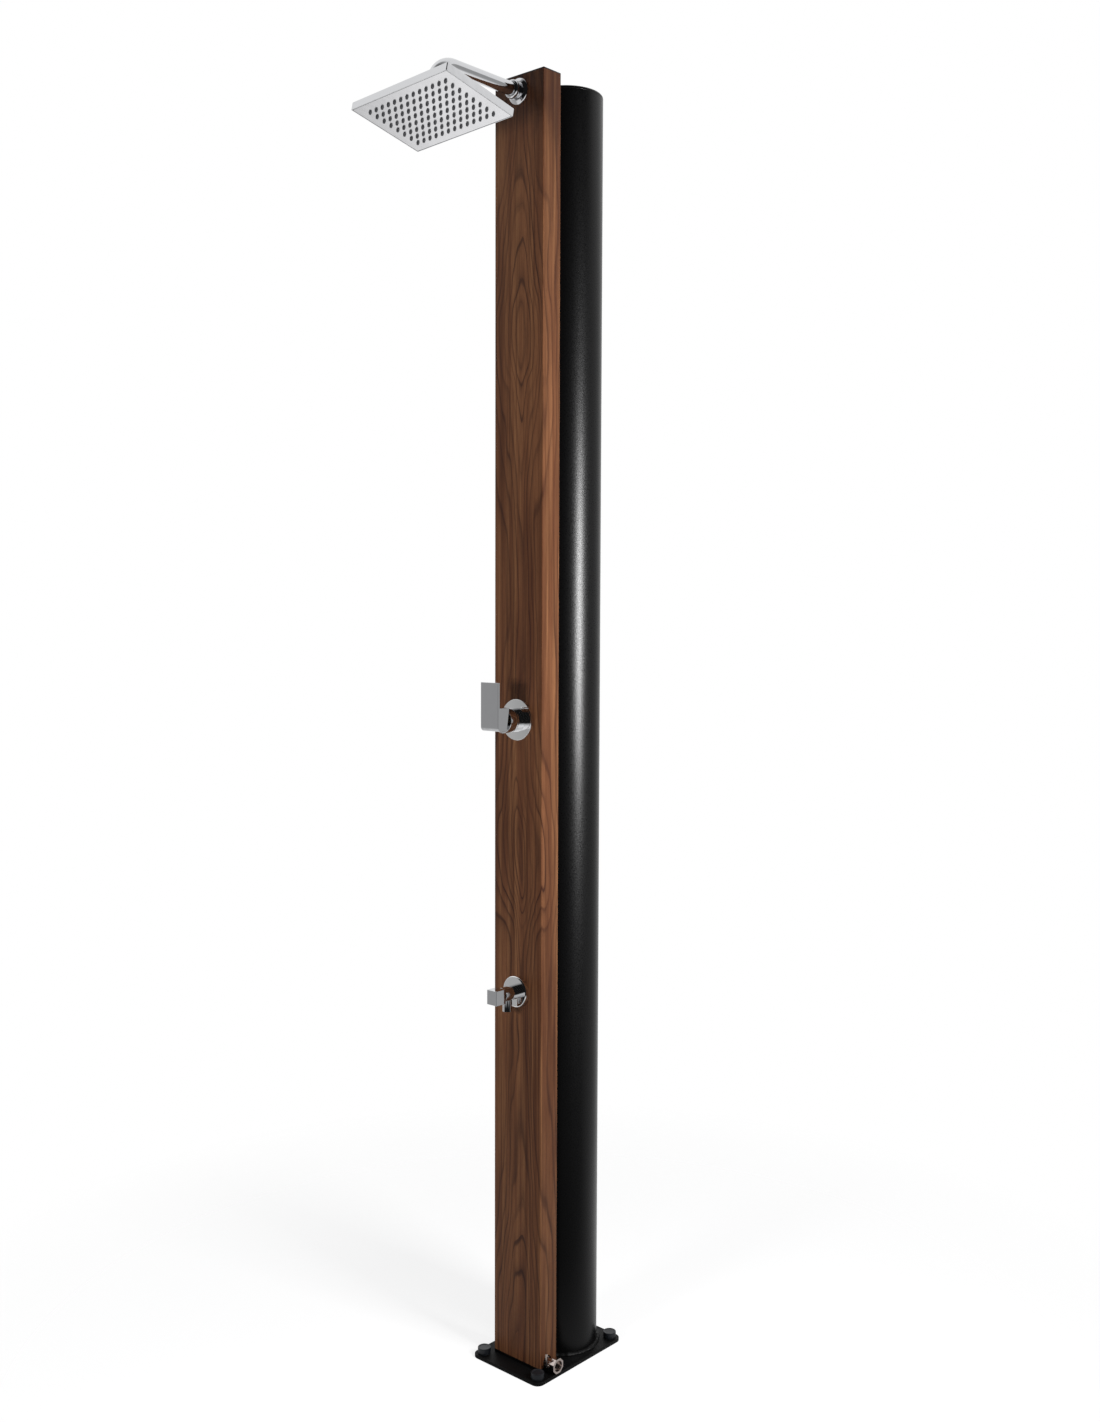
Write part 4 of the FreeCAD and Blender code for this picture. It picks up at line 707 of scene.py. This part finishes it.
# %% Bolt caps
caps_low, caps_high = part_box("bolt_caps")
cap_r, cap_top = 11.5 * MM, caps_high.z - caps_low.z
neck_r, hollow_r, neck_top = 10.7 * MM, 9.9 * MM, 2 * MM
dish, roof = cap_top - 0.7 * MM, cap_top - 1.7 * MM
cap = rounded([(0, dish), (cap_r - 3.2 * MM, dish), (cap_r - 2.2 * MM, cap_top), (cap_r, cap_top),
               (cap_r, neck_top), (neck_r, neck_top), (neck_r, 0), (hollow_r, 0), (hollow_r, roof),
               (0, roof)], np.array([0, 1.2, 0.7, 0.8, 0.4, 0.2, 0.2, 0.2, 0.4, 0]) * MM, 4)
span_x, span_y = caps_high.x - cap_r, caps_high.y - cap_r
cap_shells = [turned(cap, (sx * span_x, sy * span_y, caps_low.z), UP, 48)
              for sx in (-1, 1) for sy in (-1, 1)]
add_piece("anchor_caps", together(*cap_shells), "post", "black_plastic", "bolt_caps")

# %% [markdown]
# ## Mixer
#
# The mixer's rosette is a thin chrome disc whose front falls off by a millimetre towards its rim, and
# a sleeve with a fine groove stands on it. Both could be softened copies of the solids, but on chrome
# the rim is the line that one sees, so both are turned from outlines with real radii.

# %% Rosette and sleeve
rosette = rounded([(35, 0), (35, 4.6), (19.9, 5.5), (19.9, 3.6), (33, 3.6), (33, 0)],
                  [0.3, 0.6, 0.3, 0.3, 0.5, 0.3], 5)
disc_cover = add_piece("mixer_disc_cover", turned(rosette * MM, MIXER, OUT, 160),
                       "post", "chrome", "mixer_rosette")
# The rosette takes the lit copy of the chrome, painted brighter than the other fittings.
disc_cover.data.materials[0] = lit_chrome
sleeve = rounded([(20.8, 5.5), (20.8, 21.5), (19.9, 22.25), (20.8, 23.0), (20.8, 39.0), (12.5, 39.0),
                  (12.5, 37.2), (17.6, 36.0), (17.6, 5.5)],
                 [0.2, 0.3, 0.15, 0.3, 0.9, 0.3, 0.3, 0.3, 0.2], 4)
add_piece("mixer_barrel", turned(sleeve * MM, MIXER, OUT, 128), "post", "chrome", "mixer_sleeve")

# %% [markdown]
# The lever is one casting: a hub block that narrows to the sleeve, and a thin upright blade in front.
# Its side view is an outline with rounded corners. That outline is carried across the lever's width,
# and drawn in a little at both ends so that the long edges are round too.

# %% Lever
def carried(outline, half_width, edge, base, out, up, across, steps=4):
    """An outline of (out, up) points carried across a width, with edges of radius `edge`.

    Near each end the outline moves inwards by edge·(1 - sin a) along its own normals while the
    distance across goes from edge short of the end to the end, by edge·cos a.
    """
    ahead = np.roll(outline, -1, 0) - np.roll(outline, 1, 0)
    ahead /= np.linalg.norm(ahead, axis=1, keepdims=True)
    normal = np.stack([ahead[:, 1], -ahead[:, 0]], axis=1)
    area = (outline[:, 0] * np.roll(outline[:, 1], -1) - np.roll(outline[:, 0], -1) * outline[:, 1]).sum()
    inward = -normal * np.sign(area)
    a = np.linspace(0, np.pi / 2, steps + 1)
    sets = np.concatenate([edge * (1 - np.sin(a)), edge * (1 - np.cos(a))])
    spans = np.concatenate([-half_width + edge * (1 - np.cos(a)), half_width - edge * (1 - np.sin(a))])
    flat = outline[None] + inward[None] * sets[:, None, None]
    points = base + flat[..., :1] * out + flat[..., 1:] * up + spans[:, None, None] * across
    return shell(points, loop_rows=False, capped=True)


lever = rounded([(42.6, 23), (65.5, 23), (65.5, 65.5), (69.5, 65.5), (69.5, -16), (48.6, -16)],
                [0.8, 0.4, 0.4, 0.4, 7.0, 0.8], 6)
add_piece("lever_casting", carried(lever * MM, 20 * MM, 0.3 * MM, MIXER, OUT, UP, SIDE),
          "mixer_lever", "chrome", "mixer_lever")

# %% [markdown]
# ## Foot tap
#
# The tap for rinsing feet has a cup-shaped rosette, a barrel with a spout under it, and a small block
# as its handle. The barrel and the spout meet in a curve, which the CAD solid has exactly, so that
# piece is a softened copy. The rest is turned or carried.

# %% Foot tap
tap_rosette = rounded([(27, 0), (27, 8.5), (10.5, 8.5), (10.5, 6.6), (24.8, 6.6), (24.8, 0)],
                      [0.3, 2.2, 0.3, 0.3, 1.2, 0.3], 6)
tap_cover = add_piece("tap_disc_cover", turned(tap_rosette * MM, TAP, OUT, 128),
                      "post", "chrome", "tap_rosette")
# The rosette takes the lit copy of the chrome, painted brighter than the other fittings.
tap_cover.data.materials[0] = lit_chrome
soften("tap_body", "tap_barrel", "post", "chrome", 0.35 * MM, 3)
handle = rounded([(41.2, 12.5), (63.7, 12.5), (63.7, -12.5), (41.2, -12.5)], 0.45, 5)
add_piece("tap_block", carried(handle * MM, 11 * MM, 0.35 * MM, TAP, OUT, UP, SIDE),
          "tap_key", "chrome", "tap_handle")

# %% [markdown]
# ## Shower arm
#
# The arm is a bent tube: straight out of the wall, a quarter circle, and a short drop into the ball
# joint. A bevelled curve would be quick, but a bevelled curve spaces its rings unevenly at the bend.
# Here the path is one function of the distance along it, so every ring stands square to the path.

# %% Arm
arm_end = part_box("shower_arm")[0]
arm_r, arm_wall, bend_r = 11 * MM, 1.5 * MM, 44 * MM
reach, drop = FRONT - arm_end.y - arm_r, ARM[2] - arm_end.z
start_out = 3.5 * MM


def arm_path(count):
    """Points and directions along the arm, by the distance s along it.

    Turn = (s - run) / bend radius, kept between nothing and a quarter circle. Out = start +
    min(s, run) + bend radius · sin(turn), and down = bend radius · (1 - cos(turn)) + what s has left
    after the bend.
    """
    run, arc, fall = reach - bend_r - start_out, bend_r * np.pi / 2, drop - bend_r
    s = np.concatenate([np.linspace(0, run, count), run + np.linspace(0, arc, count * 2)[1:],
                        run + arc + np.linspace(0, fall, 4)[1:]])
    turn = np.clip((s - run) / bend_r, 0, np.pi / 2)
    out = start_out + np.minimum(s, run) + bend_r * np.sin(turn)
    down = bend_r * (1 - np.cos(turn)) + np.maximum(s - run - arc, 0)
    points = ARM + out[:, None] * OUT - down[:, None] * UP
    ways = np.cos(turn)[:, None] * OUT - np.sin(turn)[:, None] * UP
    return points, ways


def tube_along(points, ways, outer, inner, sides):
    """A hollow tube: rings along the outside of the path, and back along its inside.

    Ring point = path point + radius · spoke, with the spokes square to the path's direction.
    """
    spoke = spokes(sides, SIDE, np.cross(ways, SIDE)[:, None])
    outside = points[:, None] + spoke * outer
    inside = (points[:, None] + spoke * inner)[::-1]
    return shell(np.concatenate([outside, inside]))


path, ways = arm_path(14)
arm_tube = tube_along(path, ways, arm_r, arm_r - arm_wall, 72)
threaded_end = rounded([(10.4, 4.0), (10.4, -7.0), (8.75, -7.0), (8.75, 4.0)], 0.2, 2)
add_piece("arm_tube", together(arm_tube, turned(threaded_end * MM, ARM, OUT, 72)),
          "post", "chrome", "shower_arm")

# %% [markdown]
# A domed flange covers the hole in the column, and a bead slides up against it. In chrome both show
# as bright and dark rings, so their outlines are full curves and not chamfers.

# %% Flange and bead
flange = rounded([(21.35, 0), (21.35, 3.4), (15.6, 7.0), (11.06, 7.0), (11.06, 5.8), (14.6, 5.8),
                  (20.1, 3.0), (20.1, 0)], [0.3, 2.4, 2.6, 0.3, 0.2, 1.2, 1.2, 0.2], 6)
add_piece("arm_cover", turned(flange * MM, ARM, OUT, 128), "post", "chrome", "arm_flange")
bead_ring = rounded([(15, 12.5), (15, 21.0), (11.03, 21.0), (11.03, 12.5)], [3.3, 3.3, 0.4, 0.4], 7)
add_piece("arm_bead", turned(bead_ring * MM, ARM, OUT, 96), "post", "chrome", "arm_collar")

# %% [markdown]
# ## Ball joint
#
# The arm ends in a ball, and the nut on the head holds it. The nut tilts and turns with the head, so
# its outline is turned about the head's own axis. The head hangs at three small angles about the
# ball's centre, and one matrix made from them puts every piece of the head in its place.

# %% Where the head hangs
joint_low, joint_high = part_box("swivel_ball")
neck_end = 22 * MM
BALL = np.array([0.0, (joint_low.y + joint_high.y) / 2, joint_high.z - neck_end])
turn_z, tilt_x, roll_y = np.radians([-1.77, -13.72, -2.08])


def rotation(axis, angle):
    """Rodrigues' formula: I + sin a · K + (1 - cos a) · K², with K the cross product with the axis."""
    k = np.cross(np.eye(3), axis)
    return np.eye(3) + np.sin(angle) * k + (1 - np.cos(angle)) * k @ k


HEAD = rotation((0, 0, 1), turn_z) @ rotation((1, 0, 0), tilt_x) @ rotation((0, 1, 0), roll_y)


def hung(surface):
    """Carries points given about the ball's centre, in the head's own frame, to where the head is."""
    points, faces = surface
    return points @ HEAD.T + BALL, faces


print("ball centre", BALL.round(4), "head's down axis", (-HEAD[:, 2]).round(3))

# %% [markdown]
# The ball's neck is screwed into the arm, and the nut's lip reaches in over the ball's shoulders. Both
# could be cut from spheres, but turning outlines that follow the arcs gives the ball, its neck and the
# nut without any cut, and keeps a real gap between them.
#
# A point of an arc at angle a from the upward axis is (R sin a, R cos a).

# %% Ball, neck and nut
def arc_of(radius, first, last, count):
    """Points (R sin a, R cos a) of an arc, with a from `first` to `last`."""
    a = np.linspace(first, last, count)
    return np.stack([radius * np.sin(a), radius * np.cos(a)], axis=1)


ball_arc = arc_of(10.5, np.radians(38.3), np.radians(158), 28)
ball_outline = np.concatenate([ball_arc, [(3.9, -9.7), (3.9, 8.2)]])
neck = rounded([(11.0, 17.0), (11.0, 22.0), (13.0, 22.0), (13.0, 14.0), (6.5, 14.0), (6.5, 8.25),
                (3.95, 8.25), (3.95, 17.0)], [0.3, 0.4, 0.6, 0.8, 1.2, 0.1, 0.1, 0.3], 4)
add_piece("arm_ball", together(turned(ball_outline * MM, BALL, UP, 96), turned(neck * MM, BALL, UP, 96)),
          "post", "chrome", "swivel_ball")

lip, cup_r, seat = np.radians(62.0), 12.57, -5.2
cup = arc_of(cup_r, lip, np.arccos(seat / cup_r), 12)
outer = rounded([(cup_r * np.sin(lip), cup_r * np.cos(lip)), (12.7, 7.5), (16.5, 7.5), (16.5, seat),
                 (14.4, seat), (14.4, -0.1)], [0.1, 0.2, 1.3, 0.6, 0.2, 0.1], 5)
upper_cup = cup[cup[:, 1] > 0.2][::-1]
nut = np.concatenate([outer, [(cup_r, 0.0)], upper_cup])
add_piece("ball_nut", hung(turned(nut * MM, (0, 0, 0), (0, 0, 1), 96)),
          "shower_head", "chrome", "swivel_nut")

# %% [markdown]
# ## Rain head
#
# The casing is a shallow box with rounded corners, open below, with the cup for the ball on top. A
# row of the grid is a ring round the box, and the rows run from the rim up the outside, in over the
# flat top to the round boss, down into the cup, and back along the inside. Rings of the box and rings
# of the boss have the same number of points, so one grid makes the whole casing.

# %% Casing
HALF_WIDE, HALF_DEEP = 110, 71


def box_ring(inset, height, corner, steps=6, side=16):
    """A rectangle's outline with round corners, drawn in by `inset`, as one ring of points."""
    half = np.array([HALF_WIDE - inset, HALF_DEEP - inset]) * MM
    corner = max(corner, 0.05) * MM
    corners = [(half[0], -half[1]), (half[0], half[1]), (-half[0], half[1]), (-half[0], -half[1])]
    arcs = rounded(corners, corner, steps).reshape(4, steps + 1, 2)
    t = np.linspace(0, 1, side + 2)[1:-1, None]
    sides = arcs[:, -1:, :] * (1 - t) + np.roll(arcs, -1, 0)[:, :1, :] * t
    ring = np.concatenate([arcs, sides], axis=1).reshape(-1, 2)
    return np.column_stack([ring, np.full(len(ring), height * MM)])


def round_ring(radius, height):
    """A circle whose points lie at the same angles as the box ring's."""
    flat = box_ring(0, 0, 4.0)
    angle = np.arctan2(flat[:, 1], flat[:, 0])
    level = np.full(len(flat), height * MM)
    return np.column_stack([radius * MM * np.cos(angle), radius * MM * np.sin(angle), level])


top, under, wall = -5.5, -18.5, 1.6
top_edge, rim_edge, corner_r = 1.2, 0.35, 1.2
boss_r, cup_floor = 14.4, -14.17
arc = np.linspace(0, np.pi / 2, 6)
rows = [box_ring(rim_edge * (1 - np.sin(t)), under + rim_edge * (1 - np.cos(t)), corner_r)
        for t in arc[::2]]
rows += [box_ring(top_edge * (1 - np.cos(t)), top - top_edge + top_edge * np.sin(t), corner_r)
         for t in arc]
rows += [box_ring(3.0, top, 2.4)]
BOSS = [(19.5, top), (16.2, top), (14.9, top + 0.15), (boss_r, top + 0.6), (boss_r, -0.6),
        (boss_r - 0.3, -0.3), (12.7, -0.3)]
SOCKET = arc_of(cup_r, np.radians(92), np.radians(155), 8).tolist()
INSIDE = [(5.2, cup_floor), (boss_r, cup_floor), (boss_r, top - wall)]
rows += [round_ring(radius, height) for radius, height in BOSS + SOCKET + INSIDE]
rows += [box_ring(wall + 1.0, top - wall, 1.4), box_ring(wall, top - wall - 0.8, 1.4),
         box_ring(wall - 0.3, under + 0.3, 1.4), box_ring(wall - 0.5, under, 1.6)]
add_piece("head_casing", hung(shell(np.array(rows))), "shower_head", "chrome", "head_cover")

# %% [markdown]
# The face plate is punched with 104 holes, and a grey silicone mat lies on it with a nub through each
# hole. The plate stays the CAD solid. The mat is one sheet and one nub outline turned in small steps
# and repeated, because a shape that appears a hundred times should stay light.

# %% Nozzle mat
nubs_wide, nubs_deep, pitch = 13, 8, 14.5
x = (np.arange(nubs_wide) - (nubs_wide - 1) / 2) * pitch
y = (np.arange(nubs_deep) - (nubs_deep - 1) / 2) * pitch
centres = np.stack(np.meshgrid(x, y), axis=-1).reshape(-1, 2)
nub = np.array([(2.68, -16.3), (2.68, -18.25), (2.45, -19.6), (1.95, -21.75), (1.45, -22.0),
                (0.65, -22.0), (0.6, -21.0)])
sides = 12
spin = np.linspace(0, 2 * np.pi, sides, endpoint=False)
local = np.stack([nub[:, 0, None] * np.cos(spin), nub[:, 0, None] * np.sin(spin),
                  nub[:, 1, None] + 0 * spin], axis=-1)
points = (local[None] + np.column_stack([centres, np.zeros(len(centres))])[:, None, None]) * MM
one = shell(local, loop_rows=False, capped=True)[1]
per_nub = len(nub) * sides
nub_faces = [[n + k * per_nub for n in face] for k in range(len(centres)) for face in one]
margin, sheet_under, sheet_top = 2.0, -16.2, -14.7
sheet = shell(np.array([box_ring(margin, height, 2.0) for height in (sheet_under, sheet_top)]),
              loop_rows=False, capped=True)
add_piece("nozzle_nubs", hung(together((points.reshape(-1, 3), nub_faces), sheet)),
          "shower_head", "grey_silicone", "nozzle_mat")

# %% [markdown]
# ## Valve at the foot
#
# A small ball valve stands beside the column's foot: an eight-sided union with an open mouth, a short
# body, and a cranked lever under a nut. These are small machined solids, so softened copies of the
# CAD pieces with fine bevels are enough.

# %% Valve
soften("valve_union", "union_end", "post", "nickel", 0.5 * MM, 3)
soften("valve_body", "valve_casting", "post", "nickel", 0.3 * MM)
soften("valve_lever", "valve_grip", "valve_key", "nickel", 0.25 * MM)
soften("valve_lever_nut", "grip_nut", "valve_key", "nickel", 0.25 * MM)

# %% [markdown]
# ## The room in the chrome
#
# Chrome has no colour of its own: it shows the room. This one is dark behind the camera, grey at the
# sides and white beyond the post and overhead. A wrapped picture of a room would do, but it would also
# light the post. So the world is worked out from a ray's direction, and only mirrored rays see the room.
# The camera sees plain white. All other rays see a faint grey, so that colours stay as written.
#
# Halfway = (1 - d · a) / 2, with d the ray's direction and a the way from the post to the camera. It is
# 0 back at the camera and 1 beyond the post, and a belt of greys follows it. High directions beyond the
# post turn white like a ceiling, and low ones turn to floor, which is greyer far to the left.

# %% World
world = bpy.data.worlds.new("studio")
bpy.context.scene.world = world
world.use_nodes = True
tree = world.node_tree
tree.nodes.clear()
direction = shade(tree, "TexCoord").outputs["Generated"]
heading = shade(tree, "SeparateXYZ", {0: direction}).outputs
facing = shade(tree, "VectorMath", {0: direction, 1: tuple(-away)}, operation="DOT_PRODUCT")
halfway = ranged(tree, facing.outputs["Value"], -1.0, 1.0)
belt = shade(tree, "ValToRGB", {0: halfway})
set_ramp(belt, [(0.30, 0.01), (0.39, 0.32), (0.45, 0.35), (0.56, 0.42), (0.76, 0.52), (0.9, 0.72),
                (1.0, 1.0)])
beyond = ranged(tree, halfway, 0.42, 0.50)
ceiling = maths(tree, "MULTIPLY", ranged(tree, heading[2], 0.22, 0.32), beyond)
low = ranged(tree, heading[2], -0.35, -0.60)
card = ranged(tree, heading[0], -0.705, -0.662, 0.50, 1.0)
ground = shade(tree, "CombineColor", {0: card, 1: card, 2: card}).outputs[0]
studio = blend(tree, ceiling, belt.outputs[0], (0.95, 0.95, 0.95, 1))
studio = blend(tree, low, studio, ground)
white, room, plain = (shade(tree, "Background", {"Color": colour}).outputs[0]
                      for colour in ((1, 1, 1, 1), studio, (0.13, 0.13, 0.135, 1)))
shade(tree, "OutputWorld", {"Surface": by_ray(tree, white, room, plain)})
print("world ready with", len(belt.color_ramp.elements), "greys in its belt")

# %% [markdown]
# ## Floor
#
# The post stands on a white floor without an end, and only its soft shadow shows. A large plane would
# show its edge and throw light up at the post. So the floor is a disc that turns clear before its edge.
# To the camera it glows nearly white and keeps the shadow, to a mirror it glows less towards the
# camera, and to all other rays it is a grey card.

# %% Floor
rings = np.array([0.0, 0.2, 0.5, 1.0, 1.6, 2.4])
points, faces = shell(rings[:, None, None] * spokes(64, SIDE, -OUT), loop_rows=False)
floor_mesh = bpy.data.meshes.new("floor")
floor_mesh.from_pydata(points.tolist(), [], faces)
floor = bpy.data.objects.new("floor", floor_mesh)
bpy.context.scene.collection.objects.link(floor)
floor_finish = bpy.data.materials.new("white floor")
floor_finish.use_nodes = True
tree = floor_finish.node_tree
tree.nodes.clear()
place = shade(tree, "TexCoord").outputs["Object"]
matt = shade(tree, "BsdfDiffuse", {"Color": (0.35, 0.35, 0.35, 1)}).outputs[0]
towards = shade(tree, "VectorMath", {0: place, 1: tuple(-away)}, operation="DOT_PRODUCT")
dimmed = ranged(tree, towards.outputs["Value"], -0.35, 0.35, 0.12, 1.0)
in_mirrors = shade(tree, "Emission", {"Color": (1, 1, 1, 1), "Strength": dimmed}).outputs[0]
shadowed = shade(tree, "BsdfDiffuse", {"Color": (0.45, 0.45, 0.45, 1)}).outputs[0]
glow = shade(tree, "Emission", {"Color": (1, 1, 1, 1), "Strength": 0.80}).outputs[0]
in_view = shade(tree, "AddShader", {0: shadowed, 1: glow}).outputs[0]
far = shade(tree, "VectorMath", {0: place}, operation="LENGTH").outputs["Value"]
fade = ranged(tree, far, 0.45, 1.3)
clear = shade(tree, "BsdfTransparent").outputs[0]
white_card = by_ray(tree, in_view, in_mirrors, matt)
faded = shade(tree, "MixShader", {0: fade, 1: white_card, 2: clear}).outputs[0]
shade(tree, "OutputMaterial", {"Surface": faded})
floor_mesh.materials.append(floor_finish)
print("floor reaches", rings[-1], "m")

# %% [markdown]
# ## Soft boxes
#
# Three soft boxes light the post. The key box at the right lights the column's side, and a weaker one
# fills the front. Reflections do not show these two, because a smooth coat would mirror them as hard
# squares. The long highlight down the tube is a third box, which reflections alone show. It is linked
# to the black pieces, since it would turn every round edge of the chrome into a white dot.

# %% Soft boxes
def soft_box(name, place, target, width, height, radiance, lights=True, mirrored=True):
    """An area lamp that faces its target; its power is radiance · pi · area.

    `lights` says whether it lights matt surfaces, and `mirrored` whether reflections show it.
    """
    lamp = bpy.data.lights.new(name, "AREA")
    lamp.shape, lamp.size, lamp.size_y = "RECTANGLE", width, height
    lamp.energy = radiance * np.pi * width * height
    piece = bpy.data.objects.new(name, lamp)
    bpy.context.scene.collection.objects.link(piece)
    piece.visible_diffuse, piece.visible_glossy = lights, mirrored
    place, target = np.array(place, float), np.array(target, float)
    back = (place - target) / np.linalg.norm(place - target)
    right = np.cross((0, 0, 1), back)
    right /= np.linalg.norm(right)
    stand = np.eye(4)
    stand[:3] = np.column_stack([right, np.cross(back, right), back, place])
    piece.matrix_world = Matrix(stand.tolist())
    print(name, "power", round(lamp.energy, 1), "W")
    return piece


soft_box("key box", (1.4, -0.05, 1.36), (0.0, 0.0, 1.36), width=0.4, height=0.9, radiance=20.0,
         mirrored=False)
streak = soft_box("key streak", (1.75, 0.06, 1.31), (0.0, 0.0, 1.31), width=0.5, height=0.7,
                  radiance=60.0, lights=False)
soft_box("front box", (0.0, -2.4, 1.2), (0.0, 0.0, 1.2), width=0.5, height=0.5, radiance=21.0,
         mirrored=False)
black_pieces = bpy.data.collections.new("pieces under the streak")
for name in ("tank_shell", "tank_lid", "tank_weld", "floor_plate"):
    black_pieces.objects.link(bpy.data.objects[name])
streak.light_linking.receiver_collection = black_pieces
